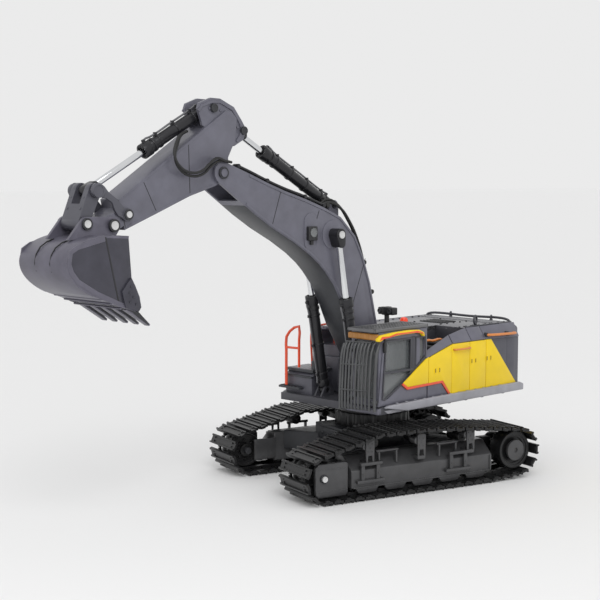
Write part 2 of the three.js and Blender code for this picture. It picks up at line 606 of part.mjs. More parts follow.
node('stick', 'slate', cut(
  join(
    plate(stickOutline, stickSpan),
    disc(boomTip, 9.5, stickSpan),
    disc(bucketPin, 9.7, stickSpan),
    plate(strap([{ at: rockerPin, radius: 8 }, { at: bucketPin, radius: 8 }]), stickSpan),
    ...cheekSpans.map((span) => plate(tailOutline, span))),
  plate(stickInner, [-stickHalfWidth + stickWall, stickHalfWidth - stickWall]
    .map((y) => Math.sign(y) * Math.min(Math.abs(y), cheekHalfGap))),
  plate(stickInner.slice(0, 2).concat([onStick(20, 34)], [onStick(20, -5)], stickInner.slice(7)),
    [-stickHalfWidth + stickWall, stickHalfWidth - stickWall]),
  disc(boomTip, pinRadius + pinFit, [-30, 30]),
  disc(bucketPin, pinRadius + pinFit, [-30, 30]),
  disc(rockerPin, linkPinRadius + pinFit, [-30, 30]),
  disc(bucketBase, basePinRadius + pinFit, [-30, 30])), house);

// Hydraulic cylinders: the barrel turns on its base pin and the rod slides in it.
const barrel = (base, eye, gland, y, eyeHalf, pinReach) => {
  const body = bar(base, eye, [5, gland], barrelRadius, y);
  const collar = bar(base, eye, [gland - collarLength, gland], barrelRadius + collarStep, y);
  const bore = bar(base, eye, [barrelFloor, gland + 5], rodRadius + pinFit, y);
  const boss = crossBar(base, barrelBoss, [y - eyeHalf, y + eyeHalf]);
  const clear = [1, -1].map((side) => crossBar(
    base, 8, [y + side * (eyeHalf + 6) - 6, y + side * (eyeHalf + 6) + 6]));
  return join(
    cut(join(body, collar, boss), bore, ...clear),
    crossBar(base, basePinRadius, [y - pinReach, y + pinReach]));
};
const rod = (base, eye, gland, inside, y, eyeSpan, eyeRadius) => join(
  bar(base, eye, [gland - inside, between(base, eye)], rodRadius, y),
  crossBar(eye, eyeRadius, eyeSpan));

const boomEyeRange = [boomHalfWidth + gap, boomCylinderY + 6];
for (const [side, sign] of [['left', 1], ['right', -1]]) {
  const y = sign * boomCylinderY;
  node(`${side}_boom_cylinder_barrel`, 'charcoal',
    barrel(boomBase, boomEye, boomGland, y, 3.2, 7.5), house);
  node(`${side}_boom_cylinder_rod`, 'chrome', rod(boomBase, boomEye, boomGland, boomRodInside, y,
    boomEyeRange.map((edge) => sign * edge).sort((a, b) => a - b), 6.6), house);
}
node('stick_cylinder_barrel', 'charcoal',
  barrel(stickBase, stickEye, stickGland, 0, 3.6, 8), house);
node('stick_cylinder_rod', 'chrome',
  rod(stickBase, stickEye, stickGland, stickRodInside, 0, [-5, 5], 5.4), house);
node('bucket_cylinder_barrel', 'charcoal',
  barrel(bucketBase, linkTop, bucketGland, 0, cheekHalfGap - gap - 2,
    cheekHalfGap + cheekThickness + 2), house);
node('bucket_cylinder_rod', 'chrome',
  rod(bucketBase, linkTop, bucketGland, bucketRodInside, 0, [-4.5, 4.5], 5.6), house);

// Bucket linkage: two rockers outside the stick, and a forked link inside the bucket ears.
const rockerInner = stickHalfWidth + gap;
for (const [side, sign] of [['left', 1], ['right', -1]]) {
  const span = [sign * rockerInner, sign * (rockerInner + plateThickness)].sort((a, b) => a - b);
  node(`${side}_rocker`, 'charcoal', cut(
    join(
      plate(strap([{ at: rockerPin, radius: 7 }, { at: linkTop, radius: 7 }]), span),
      disc(linkTop, 4.5, [sign * rockerInner, sign * (rockerInner + 7)].sort((a, b) => a - b))),
    disc(rockerPin, linkPinRadius + pinFit, [-40, 40])), house);
}
const linkHalf = stickHalfWidth - 1;
node('bucket_link', 'charcoal', cut(
  plate(strap([{ at: linkPin, radius: 6 }, { at: linkTop, radius: 7 }]), [-linkHalf, linkHalf]),
  plate(strap([
    { at: linkTop, radius: 10 }, { at: along(linkTop, linkPin, 8, 0), radius: 10 },
  ]), [-6.5, 6.5]),
  disc(linkPin, linkPinRadius + pinFit, [-40, 40])), house);

// Bucket: a curved shell open at the front, with cutting lip, teeth and two ears.
const onBucket = (x, z) => [bucketPin[0] + x, bucketPin[1] + z];
const bucketShape = (inset) => {
  const shape = new THREE.Shape();
  const go = (x, z) => onBucket(x, z);
  shape.moveTo(...go(-3, -9 - inset));
  shape.lineTo(...go(24, -8 - inset));
  shape.bezierCurveTo(...go(56 - inset, -12 - inset), ...go(66 - inset, -24), ...go(65 - inset, -34));
  shape.bezierCurveTo(...go(64 - inset, -46 + inset), ...go(50, -57 + inset), ...go(34, -63 + inset));
  shape.lineTo(...go(-11, -79 + inset));
  shape.lineTo(...go(-2 - inset * 4, -49));
  shape.lineTo(...go(-0.5 - inset * 4, -30));
  return shape.getPoints(5).map(({ x, y }) => [x, y]);
};
const bucketSpan = [-bucketHalfWidth, bucketHalfWidth];
const toothPitch = 2 * (bucketHalfWidth - toothHalf - 1) / (teeth - 1);
const bucketTeeth = Array.from({ length: teeth }, (_, i) => {
  const y = -bucketHalfWidth + toothHalf + 1 + i * toothPitch;
  const outline = [onBucket(-4, -70), onBucket(-27, -91.5), onBucket(-26, -93), onBucket(0, -76.5)];
  return plate(outline, [y - toothHalf, y + toothHalf]);
});
const earSpans = [1, -1].map((side) => [
  side * (stickHalfWidth + gap), side * (stickHalfWidth + gap + plateThickness)].sort((a, b) => a - b));
const ears = earSpans.map((span) => plate(hull([
  ...circlePoints(bucketPin, 8, roundSides), ...circlePoints(linkPin, 6.5, roundSides),
  onBucket(-3, -9.5), onBucket(50, -12),
]), span));
node('bucket', 'slate', cut(
  join(
    cut(plate(bucketShape(0), bucketSpan),
      plate(bucketShape(bucketWall), [-bucketHalfWidth + bucketWall, bucketHalfWidth - bucketWall])),
    ...bucketTeeth, ...ears),
  disc(bucketPin, pinRadius + pinFit, [-40, 40]),
  disc(linkPin, linkPinRadius + pinFit, [-40, 40]),
  disc(bucketPin, 10.2, stickRoom)), house);

// Pins, each a round bar with the fit above in its holes.
const armPin = (name, at, radius, reach) => node(
  name, 'chrome', crossBar(at, radius, [-reach, reach]), house);
armPin('boom_foot_pin', boomFoot, pinRadius, boomHalfWidth + 1.5);
armPin('boom_tip_pin', boomTip, pinRadius, boomHalfWidth + 2);
armPin('rocker_pin', rockerPin, linkPinRadius, rockerInner + plateThickness + 2.5);
armPin('bucket_pin', bucketPin, pinRadius, rockerInner + plateThickness + 3);
armPin('link_pin', linkPin, linkPinRadius, rockerInner + plateThickness + 2.5);

// The origin is on the ground under the middle of the model at rest.
const extent = new THREE.Box3().setFromObject(model, true);
const middleOf = extent.getCenter(new THREE.Vector3());
model.position.set(-middleOf.x, -middleOf.y, -extent.min.z);

export default model;
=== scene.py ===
import bpy, bmesh, json, math
from math import radians, sin, cos, pi
from mathutils import Matrix, Vector


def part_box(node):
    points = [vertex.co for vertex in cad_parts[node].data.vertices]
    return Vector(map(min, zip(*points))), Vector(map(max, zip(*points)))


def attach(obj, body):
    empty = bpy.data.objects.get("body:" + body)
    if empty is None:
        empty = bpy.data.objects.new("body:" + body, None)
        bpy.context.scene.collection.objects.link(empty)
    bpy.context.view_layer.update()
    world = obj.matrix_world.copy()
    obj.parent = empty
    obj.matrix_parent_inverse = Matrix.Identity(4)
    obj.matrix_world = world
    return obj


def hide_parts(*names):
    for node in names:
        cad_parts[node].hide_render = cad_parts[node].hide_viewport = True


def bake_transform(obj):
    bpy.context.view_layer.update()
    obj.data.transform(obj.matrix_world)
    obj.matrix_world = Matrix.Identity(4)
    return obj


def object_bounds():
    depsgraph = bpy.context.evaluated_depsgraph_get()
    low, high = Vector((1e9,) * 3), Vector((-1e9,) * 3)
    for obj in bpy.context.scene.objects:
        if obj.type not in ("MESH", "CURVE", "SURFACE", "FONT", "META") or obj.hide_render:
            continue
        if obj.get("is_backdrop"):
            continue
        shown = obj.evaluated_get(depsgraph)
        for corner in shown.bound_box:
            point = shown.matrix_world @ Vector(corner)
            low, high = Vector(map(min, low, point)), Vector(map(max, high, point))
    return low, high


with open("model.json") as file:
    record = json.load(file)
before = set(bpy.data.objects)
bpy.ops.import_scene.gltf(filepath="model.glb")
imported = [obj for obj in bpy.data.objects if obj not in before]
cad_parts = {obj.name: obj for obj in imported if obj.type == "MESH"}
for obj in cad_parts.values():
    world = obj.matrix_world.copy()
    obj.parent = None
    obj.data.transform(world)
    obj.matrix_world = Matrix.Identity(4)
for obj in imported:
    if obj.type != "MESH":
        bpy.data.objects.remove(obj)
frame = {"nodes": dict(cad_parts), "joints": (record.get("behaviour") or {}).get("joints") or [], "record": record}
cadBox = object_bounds()
mm = 0.001
restSwing = radians(14.4)      # the house stands swung to the left of the tracks

joints = {j["name"]: j for j in frame["joints"]}


def pinOf(joint):
    return Vector(joints[joint]["pos_m"])


swingAxis = pinOf("house_swing")
swingAxis.z = 0
houseTurn = Matrix.Translation(swingAxis) @ Matrix.Rotation(restSwing, 4, 'Z')
trackShift = Matrix.Translation(swingAxis)


def inHouse(point):      # a row point as x forwards, y left, z up on the house, in mm
    return (houseTurn.inverted() @ Vector(point)) / mm


def armPin(joint):
    p = inHouse(pinOf(joint))
    return Vector((p.x, 0, p.z))


boomFoot = armPin("boom_lift")
boomTip = armPin("stick_swing")
bucketPin = armPin("bucket_curl")
rockerPin = armPin("rocker_swing")
linkPin = armPin("link_swing")
bucketBase = armPin("bucket_cylinder_tilt")
stickBase = armPin("stick_cylinder_tilt")
boomBase = armPin("left_boom_cylinder_tilt")
print("frame read")

camera = {"place": (0.7000, 1.2319, 0.3341), "heading": 30.16, "down": 5.25, "lens": 79.77}
cam = bpy.data.objects.new("photo_camera", bpy.data.cameras.new("photo_camera"))
bpy.context.collection.objects.link(cam)
head, down = radians(camera["heading"]), radians(camera["down"])
look = Vector((-sin(head) * cos(down), -cos(head) * cos(down), -sin(down)))
cam.matrix_world = Matrix.Translation(camera["place"]) @ look.to_track_quat('-Z', 'Y').to_matrix().to_4x4()
cam.data.lens = camera["lens"]
cam.data.sensor_width = 36
cam.data.clip_end = 100
bpy.context.scene.camera = cam

studio = {"sky": (0.83, 0.83, 0.83), "sun": {"from": (0.25, 0.75, 1.0), "power": 0.75, "angle": 28},
          "side": {"at": (0.55, 0.95, 0.75), "size": 0.5, "power": 2.4}, "floor": (0.81, 0.81, 0.81)}
world = bpy.data.worlds.new("studio_sky")
bpy.context.scene.world = world
world.use_nodes = True
world.node_tree.nodes["Background"].inputs[0].default_value = (*studio["sky"], 1)
world.node_tree.nodes["Background"].inputs[1].default_value = 1


def addLight(name, kind, place, power):
    light = bpy.data.objects.new(name, bpy.data.lights.new(name, kind))
    bpy.context.collection.objects.link(light)
    light.data.energy = power
    aim = Vector((0.05, 0, 0.18)) - Vector(place)
    light.matrix_world = Matrix.Translation(place) @ aim.to_track_quat('-Z', 'Y').to_matrix().to_4x4()
    return light.data


addLight("soft_sun", 'SUN', studio["sun"]["from"], studio["sun"]["power"]).angle = radians(studio["sun"]["angle"])
addLight("side_softbox", 'AREA', studio["side"]["at"], studio["side"]["power"]).size = studio["side"]["size"]
bpy.context.scene.view_settings.view_transform = 'Standard'


class Wire:      # a node's output; + - and * on it add the nodes
    def __init__(self, shader, socket):
        self.shader, self.socket = shader, socket

    def join(self, operation, other, flip=False):
        a, b = (other, self) if flip else (self, other)
        return self.shader.node('ShaderNodeMath', {"operation": operation}, [a, b])

    def __add__(self, other): return self.join('ADD', other)
    def __radd__(self, other): return self.join('ADD', other)
    def __mul__(self, other): return self.join('MULTIPLY', other)
    def __rmul__(self, other): return self.join('MULTIPLY', other)
    def __sub__(self, other): return self.join('SUBTRACT', other)
    def __rsub__(self, other): return self.join('SUBTRACT', other, True)


class Shader:
    def __init__(self, name):
        self.material = bpy.data.materials.new(name)
        self.material.use_nodes = True
        self.tree = self.material.node_tree
        self.surface = self.tree.nodes["Principled BSDF"]
        self.coords = self.node('ShaderNodeTexCoord', {}, [], "Object")

    def node(self, kind, settings, inputs, output=0):
        made = self.tree.nodes.new(kind)
        for key, value in settings.items():
            setattr(made, key, value)
        pairs = inputs.items() if isinstance(inputs, dict) else enumerate(inputs)
        for place, value in pairs:
            if isinstance(value, Wire):
                self.tree.links.new(value.socket, made.inputs[place])
            elif value is not None:
                made.inputs[place].default_value = value
        return Wire(self, made.outputs[output])

    def noise(self, scale, detail=3, rough=0.55, coords=None):
        return self.node('ShaderNodeTexNoise', {}, {"Vector": coords or self.coords, "Scale": scale,
                         "Detail": detail, "Roughness": rough})

    def ramp(self, wire, low, high):
        return self.node('ShaderNodeMapRange', {}, [wire, low, high, 0.0, 1.0])

    def blend(self, mask, first, second):
        def colour(value):
            return value if isinstance(value, Wire) else (*value, 1)
        return self.node('ShaderNodeMix', {"data_type": 'RGBA'}, {0: mask, 6: colour(first), 7: colour(second)}, 2)

    def edges(self, radius):      # 1 on sharp edges, 0 on flats
        bent = self.node('ShaderNodeBevel', {"samples": 4}, {"Radius": radius})
        flat = self.node('ShaderNodeNewGeometry', {}, [], "Normal")
        same = self.node('ShaderNodeVectorMath', {"operation": 'DOT_PRODUCT'}, [bent, flat], "Value")
        return self.ramp(1 - same, 0.02, 0.25)

    def bump(self, height, strength, distance):
        return self.node('ShaderNodeBump', {}, {"Strength": strength, "Distance": distance, "Height": height})

    def set(self, **values):
        for key, value in values.items():
            socket = self.surface.inputs[key.replace("_", " ")]
            if isinstance(value, Wire):
                self.tree.links.new(value.socket, socket)
            else:
                socket.default_value = value
        return self.material


def paint(name, colour, roughness=0.42, metallic=0.0, coat=0.15, mottling=0.12, grain=0.12):
    s = Shader(name)
    cloud = s.noise(55, 4)
    speck = s.noise(2600, 2)
    light = [min(1, c * (1 + mottling)) for c in colour]
    dark = [c * (1 - mottling) for c in colour]
    return s.set(Base_Color=s.blend(s.ramp(cloud, 0.3, 0.7), dark, light),
                 Roughness=roughness - 0.06 + 0.08 * cloud + 0.06 * speck, Metallic=metallic,
                 Coat_Weight=coat, Coat_Roughness=0.25,
                 Normal=s.bump(speck + s.noise(700, 2), grain, 0.00012))


def wornPaint(name, colour, worn, roughness=0.45, metallic=0.2, radius=0.0008, amount=0.6):
    s = Shader(name)
    cloud = s.noise(60, 5)
    scuff = s.ramp(s.noise(420, 6, 0.7), 0.46, 0.66)
    rub = s.edges(radius) * (0.35 + 0.65 * scuff) * amount
    base = s.blend(s.ramp(cloud, 0.3, 0.72), [c * 0.84 for c in colour], [c * 1.18 for c in colour])
    return s.set(Base_Color=s.blend(rub, base, worn), Roughness=roughness + 0.12 * (cloud - 0.5) - 0.1 * rub,
                 Metallic=metallic + 0.5 * rub, Normal=s.bump(s.noise(1500, 3), 0.12, 0.00015))


def chromePlate(name):
    s = Shader(name)
    streak = s.noise(900, 2, 0.5, s.node('ShaderNodeMapping', {}, {0: s.coords, 3: (1, 1, 0.08)}))
    return s.set(Base_Color=s.blend(s.noise(30), (0.62, 0.63, 0.65), (0.78, 0.79, 0.8)), Metallic=1.0,
                 Roughness=0.1 + 0.12 * streak, Normal=s.bump(streak, 0.04, 0.0001))


def smokedGlass(name):
    s = Shader(name)
    smear = s.noise(14, 1)
    return s.set(Base_Color=s.blend(s.ramp(smear, 0.35, 0.7), (0.13, 0.14, 0.145), (0.24, 0.25, 0.255)),
                 Roughness=0.16 + 0.1 * smear, Alpha=0.66 + 0.1 * smear, Coat_Weight=0.2)


def lampPlastic(name, colour, glow):
    s = Shader(name)
    rib = s.node('ShaderNodeTexWave', {"bands_direction": 'X'}, {"Vector": s.coords, "Scale": 160})
    return s.set(Base_Color=s.blend(s.ramp(s.noise(120), 0.3, 0.7), [c * 0.75 for c in colour], colour),
                 Roughness=0.18 + 0.12 * rib, Emission_Color=(*glow, 1), Emission_Strength=0.25,
                 Normal=s.bump(rib, 0.2, 0.0003))


slate = paint("slate_paint", (0.125, 0.124, 0.155), 0.4, 0.25, 0.2)
slateDark = paint("slate_shadow_paint", (0.052, 0.052, 0.062), 0.45, 0.2, 0.1)
charcoal = paint("charcoal_paint", (0.036, 0.038, 0.044), 0.42, 0.2, 0.1, 0.18)
charcoalWorn = wornPaint("charcoal_worn_paint", (0.03, 0.031, 0.035), (0.16, 0.16, 0.165))
bucketPaint = wornPaint("bucket_slate_paint", (0.115, 0.11, 0.142), (0.3, 0.3, 0.31), 0.4, 0.25, 0.0009, 0.55)
bucketSide = wornPaint("bucket_side_paint", (0.048, 0.047, 0.062), (0.14, 0.14, 0.15), 0.34, 0.25, 0.0008, 0.4)
trackSteel = wornPaint("track_black_steel", (0.016, 0.016, 0.017), (0.16, 0.16, 0.16), 0.34, 0.35, 0.0006, 0.75)
blackMoulding = paint("black_moulding", (0.014, 0.014, 0.016), 0.5, 0, 0.05, 0.2, 0.3)
sillGrey = paint("sill_grey_paint", (0.30, 0.30, 0.33), 0.42, 0.1, 0.1)
yellowPaint = paint("yellow_paint", (0.82, 0.575, 0.001), 0.45, 0, 0.08, 0.04, 0.06)
orangePaint = paint("red_orange_paint", (0.72, 0.075, 0.022), 0.34, 0, 0.3, 0.08, 0.08)
chrome = chromePlate("bright_chrome")
glass = smokedGlass("smoked_glass")
amber = lampPlastic("amber_lens", (0.30, 0.135, 0.03), (0.3, 0.12, 0.01))
beaconRed = lampPlastic("beacon_red_lens", (0.8, 0.06, 0.02), (0.9, 0.05, 0.01))
frameGrey = wornPaint("frame_grey_paint", (0.07, 0.07, 0.073), (0.2, 0.2, 0.2), 0.3, 0.35, 0.0007, 0.5)
weightPaint = paint("rear_slate_paint", (0.078, 0.078, 0.096), 0.4, 0.25, 0.2)
gripOrange = paint("grip_orange_paint", (0.62, 0.2, 0.035), 0.34, 0, 0.3, 0.1, 0.08)
rubber = paint("black_rubber", (0.012, 0.012, 0.012), 0.6, 0, 0, 0.25, 0.35)
blueWrap = paint("battery_blue_wrap", (0.03, 0.09, 0.28), 0.4, 0, 0.1)
boardGreen = paint("circuit_board_green", (0.02, 0.14, 0.05), 0.4, 0, 0.3)
guardGrey = wornPaint("guard_grey_paint", (0.075, 0.077, 0.08), (0.2, 0.2, 0.2), 0.38, 0.2, 0.0005, 0.5)


def diamondTread(name, colour):
    s = Shader(name)
    turned = s.node('ShaderNodeMapping', {}, {0: s.coords, 2: (0, 0, radians(45) + restSwing)})
    ribs = s.node('ShaderNodeTexChecker', {}, {"Vector": turned, "Color1": (1, 1, 1, 1), "Color2": (0, 0, 0, 1),
                  "Scale": 330}, 1)
    cloud = s.noise(80, 4)
    return s.set(Base_Color=s.blend(ribs * 0.6, colour, [min(1, c * 2.1) for c in colour]), Metallic=0.5,
                 Roughness=0.36 + 0.14 * cloud, Normal=s.bump(ribs, 0.6, 0.0006))


roofGrey = wornPaint("roof_grid_paint", (0.13, 0.13, 0.135), (0.3, 0.3, 0.3), 0.4, 0.2, 0.0005, 0.5)
treadPlate = diamondTread("diamond_tread", (0.16, 0.16, 0.17))
pinEnd = paint("pin_end_steel", (0.62, 0.62, 0.62), 0.3, 0.4, 0.1, 0.05)
print("materials made")


def settle(obj):      # place, turn and size go into the mesh
    bpy.ops.object.select_all(action='DESELECT')
    obj.select_set(True)
    bpy.context.view_layer.objects.active = obj
    bpy.ops.object.transform_apply(location=True, rotation=True, scale=True)


def modify(obj, kind, **settings):
    bpy.context.view_layer.objects.active = obj
    made = obj.modifiers.new(kind.lower(), kind)
    for key, value in settings.items():
        setattr(made, key, value)
    bpy.ops.object.modifier_apply(modifier=made.name)


def soften(obj, width, segments=2, angle=32):
    if width:
        modify(obj, 'BEVEL', width=width * mm, segments=segments, limit_method='ANGLE', angle_limit=radians(angle),
               harden_normals=False, use_clamp_overlap=True)
    bpy.ops.object.select_all(action='DESELECT')
    obj.select_set(True)
    bpy.context.view_layer.objects.active = obj
    bpy.ops.object.shade_smooth_by_angle(angle=radians(35))


def shopFloor():      # nothing selected, so that an operator only meets the new piece
    if bpy.context.object and bpy.context.object.mode != 'OBJECT':
        bpy.ops.object.mode_set(mode='OBJECT')
    bpy.ops.object.select_all(action='DESELECT')


def named(obj, name):
    obj.name = name
    obj.data.name = name
    return obj


def editFaces(obj, wanted):      # edit mode with the faces selected that the test wants
    bpy.context.view_layer.objects.active = obj
    bpy.ops.object.mode_set(mode='EDIT')
    bpy.ops.mesh.select_mode(type='FACE')
    work = bmesh.from_edit_mesh(obj.data)
    for face in work.faces:
        face.select = wanted(face)
    bmesh.update_edit_mesh(obj.data)


def sheet(name, corners):      # a flat face through corners (x, y, z) in mm, left in edit mode
    shopFloor()
    bpy.ops.mesh.primitive_circle_add(vertices=len(corners), fill_type='NGON', radius=1)
    obj = named(bpy.context.object, name)
    for vertex, place in zip(obj.data.vertices, corners):
        vertex.co = [v * mm for v in place]
    editFaces(obj, lambda face: True)
    return obj


def pushed(obj, move, bevel, segments=2):      # what is selected, pushed out by move in mm
    bpy.ops.mesh.extrude_region_move(TRANSFORM_OT_translate={"value": [v * mm for v in move]})
    bpy.ops.mesh.select_all(action='SELECT')
    bpy.ops.mesh.normals_make_consistent(inside=False)
    bpy.ops.object.mode_set(mode='OBJECT')
    soften(obj, bevel, segments)
    return obj


def plate(name, outline, span, bevel=0.5, segments=2):      # outline (x, z) in mm, span along y
    flatFace = sheet(name, [(x, span[0], z) for x, z in outline])
    return pushed(flatFace, (0, span[1] - span[0], 0), bevel, segments)


def pair(a, b):      # two places on a line, the lower one first
    return tuple(sorted((a, b)))


def block(name, x, y, z, bevel=0.6, segments=2):
    shopFloor()
    middle = [(a + b) / 2 * mm for a, b in (x, y, z)]
    bpy.ops.mesh.primitive_cube_add(size=1, location=middle)
    obj = named(bpy.context.object, name)
    obj.scale = [abs(b - a) * mm for a, b in (x, y, z)]
    settle(obj)
    soften(obj, bevel, segments)
    return obj


def bar(name, start, end, radius, sides=28, steps=(), bevel=0.4):      # steps: (inset, sink) of both ends, in mm
    shopFloor()
    start, end = Vector(start) * mm, Vector(end) * mm
    run = end - start
    bpy.ops.mesh.primitive_cylinder_add(vertices=sides, radius=radius * mm, depth=run.length)
    obj = named(bpy.context.object, name)
    for inset, sink in steps:
        for side in (1, -1):
            editFaces(obj, lambda f: f.normal.z * side > 0.9 and len(f.verts) == sides and
                      f.calc_center_median().xy.length < 1e-5)
            bpy.ops.mesh.inset(thickness=inset * mm, depth=0)
            bpy.ops.mesh.extrude_region_move(TRANSFORM_OT_translate={"value": (0, 0, -side * sink * mm)})
            bpy.ops.object.mode_set(mode='OBJECT')
    soften(obj, bevel)
    obj.matrix_world = Matrix.Translation((start + end) / 2) @ run.to_track_quat('Z', 'Y').to_matrix().to_4x4()
    settle(obj)
    return obj


def tube(name, points, radius, sides=12, smooth=True):
    shopFloor()
    curve = bpy.data.curves.new(name, 'CURVE')
    curve.dimensions = '3D'
    curve.bevel_depth = radius * mm
    curve.bevel_resolution = sides // 4
    curve.use_fill_caps = True
    spline = curve.splines.new('BEZIER' if smooth else 'POLY')
    if smooth:
        spline.bezier_points.add(len(points) - 1)
        for knot, place in zip(spline.bezier_points, points):
            knot.co = Vector(place) * mm
            knot.handle_left_type = knot.handle_right_type = 'AUTO'
        curve.resolution_u = 8
    else:
        spline.points.add(len(points) - 1)
        for knot, place in zip(spline.points, points):
            knot.co = (*(Vector(place) * mm), 1)
    obj = bpy.data.objects.new(name, curve)
    bpy.context.collection.objects.link(obj)
    obj.select_set(True)
    bpy.context.view_layer.objects.active = obj
    bpy.ops.object.convert(target='MESH')
    obj = named(bpy.context.object, name)
    bpy.ops.object.mode_set(mode='EDIT')
    bpy.ops.mesh.select_all(action='SELECT')
    bpy.ops.mesh.remove_doubles(threshold=1e-6)
    bpy.ops.mesh.normals_make_consistent(inside=False)
    bpy.ops.object.mode_set(mode='OBJECT')
    bpy.ops.object.shade_smooth_by_angle(angle=radians(50))
    return obj


def merged(name, parts):
    shopFloor()
    for part in parts:
        part.select_set(True)
    bpy.context.view_layer.objects.active = parts[0]
    bpy.ops.object.join()
    return named(bpy.context.object, name)


def copied(obj, name, shift=(0, 0, 0), turn=None):
    twin = bpy.data.objects.new(name, obj.data.copy())
    bpy.context.collection.objects.link(twin)
    move = Matrix.Translation(Vector(shift) * mm)
    twin.data.transform(move @ turn if turn else move)
    return named(twin, name)


def fit(obj, body, material, nodes=(), place=houseTurn):
    obj.data.transform(place)
    obj.data.materials.clear()
    obj.data.materials.append(material)
    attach(obj, body)
    if nodes:
        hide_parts(*nodes)
    return obj


def fitAll(name, parts, body, slotName, material, nodes=(), place=houseTurn):      # several parts made one piece
    return fit(merged(name, parts), body, material, nodes, place)


nodeSlot = {part["node"]: part["material_slot"] for part in frame["record"]["subparts"]}
nodeBody = {node: body for body, nodes in frame["record"]["behaviour"]["bodies"].items() for node in nodes}


def fromCad(node, material, bevel=0.6, segments=2, angle=32, cuts=()):      # a finished copy of a CAD solid
    shopFloor()
    source = frame["nodes"][node]
    obj = bpy.data.objects.new(node + "_finish", source.data.copy())
    bpy.context.collection.objects.link(obj)
    named(obj, node + "_finish")
    bpy.context.view_layer.objects.active = obj
    obj.select_set(True)
    bpy.ops.object.mode_set(mode='EDIT')
    bpy.ops.mesh.select_all(action='SELECT')
    bpy.ops.mesh.remove_doubles(threshold=1e-5)
    bpy.ops.mesh.dissolve_limited(angle_limit=radians(0.8))
    for point, normal in cuts:
        bpy.ops.mesh.select_all(action='SELECT')
        bpy.ops.mesh.bisect(plane_co=houseTurn @ (Vector(point) * mm), plane_no=houseTurn.to_3x3() @ Vector(normal),
                            use_fill=True, clear_outer=True)
    bpy.ops.mesh.select_all(action='SELECT')
    bpy.ops.mesh.normals_make_consistent(inside=False)
    bpy.ops.object.mode_set(mode='OBJECT')
    soften(obj, bevel, segments, angle)
    return fit(obj, nodeBody[node], material, [node], Matrix.Identity(4))


shopFloor()
bpy.ops.mesh.primitive_plane_add(size=60, location=(0, 0, -0.0004))
floor = named(bpy.context.object, "studio_floor")
floorPaint = Shader("floor_paper")
floor.data.materials.append(floorPaint.set(
    Base_Color=floorPaint.blend(floorPaint.noise(3), [c * 0.995 for c in studio["floor"]], studio["floor"]),
    Roughness=0.95))
floor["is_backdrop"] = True


def onTracks(point):      # a row point as x forwards, y left, z up on the undercarriage, in mm
    return (trackShift.inverted() @ Vector(point)) / mm


def roundOf(node):      # centre and radius of a wheel lying across the tracks
    low, high = (onTracks(corner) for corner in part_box(node))
    return (low + high) / 2, (high.z - low.z) / 2


track = {
    "shoes": 49, "width": 57.4, "fit": 0.35, "linkHeight": 5, "grouser": 2.1, "groundRoller": -84,
    "rollers": 7, "frameFace": 17.6, "frameLow": 11, "frameFold": 29.6, "frameTop": 44, "frameRear": -94,
    "frameLength": 184,
}


def hullOf(circles, extra):      # the loop of belt round circles of (x, z, radius)
    dots = sorted((x + (r + extra) * cos(2 * pi * i / 180), z + (r + extra) * sin(2 * pi * i / 180))
                  for x, z, r in circles for i in range(180))
    loop = []
    for run in (dots, dots[::-1]):
        chain = []
        for dot in run:
            while len(chain) > 1 and ((chain[-1][0] - chain[-2][0]) * (dot[1] - chain[-2][1]) -
                                      (chain[-1][1] - chain[-2][1]) * (dot[0] - chain[-2][0])) <= 1e-7:
                chain.pop()
            chain.append(dot)
        loop += chain[:-1]
    return loop


def evenSteps(loop, count):      # (place, heading) at even steps round the loop
    closed = loop + loop[:1]
    runs = [math.dist(closed[i], closed[i + 1]) for i in range(len(loop))]
    total, steps, walked, i = sum(runs), [], 0, 0
    for step in range(count):
        goal = total * step / count
        while walked + runs[i] < goal:
            walked += runs[i]
            i += 1
        share = (goal - walked) / runs[i]
        (x0, z0), (x1, z1) = closed[i], closed[i + 1]
        steps.append(((x0 + (x1 - x0) * share, z0 + (z1 - z0) * share), math.atan2(z1 - z0, x1 - x0)))
    return steps, total / count


def shoeOf(pitch):      # one shoe with its links, x along the run, z outwards
    half = pitch / 2 - 0.9
    top = track["linkHeight"]
    g = track["grouser"]
    plateShape = [(-half, top - 1.7), (half, top - 1.7), (half, top), (half - 0.3, top + g), (half - 1.9, top + g),
                  (half - 2.4, top + 0.3), (-half + 2.6, top + 0.3), (-half + 2.2, top + g * 0.75),
                  (-half + 0.6, top + g * 0.75), (-half, top)]
    parts = [plate("shoe", plateShape, (-track["width"] / 2, track["width"] / 2), 0)]
    for y in (-12.5, 9):
        parts.append(block("link", (-pitch * 0.54, pitch * 0.54), (y, y + 3.5), (0.25, top - 1.8), 0))
    for y in (-27.5, 25.5):      # inner corners that catch the light
        parts.append(block("shoe_lug", (-2.6, 2.6), (y, y + 2), (top - 2.9, top - 1.6), 0))
    for y in (-21, 21):
        for x in (-2.2, 1.8):
            parts.append(bar("bolt", (x, y, top), (x, y, top + 1.4), 1.1, 6, bevel=0))
    return merged("shoe", parts)


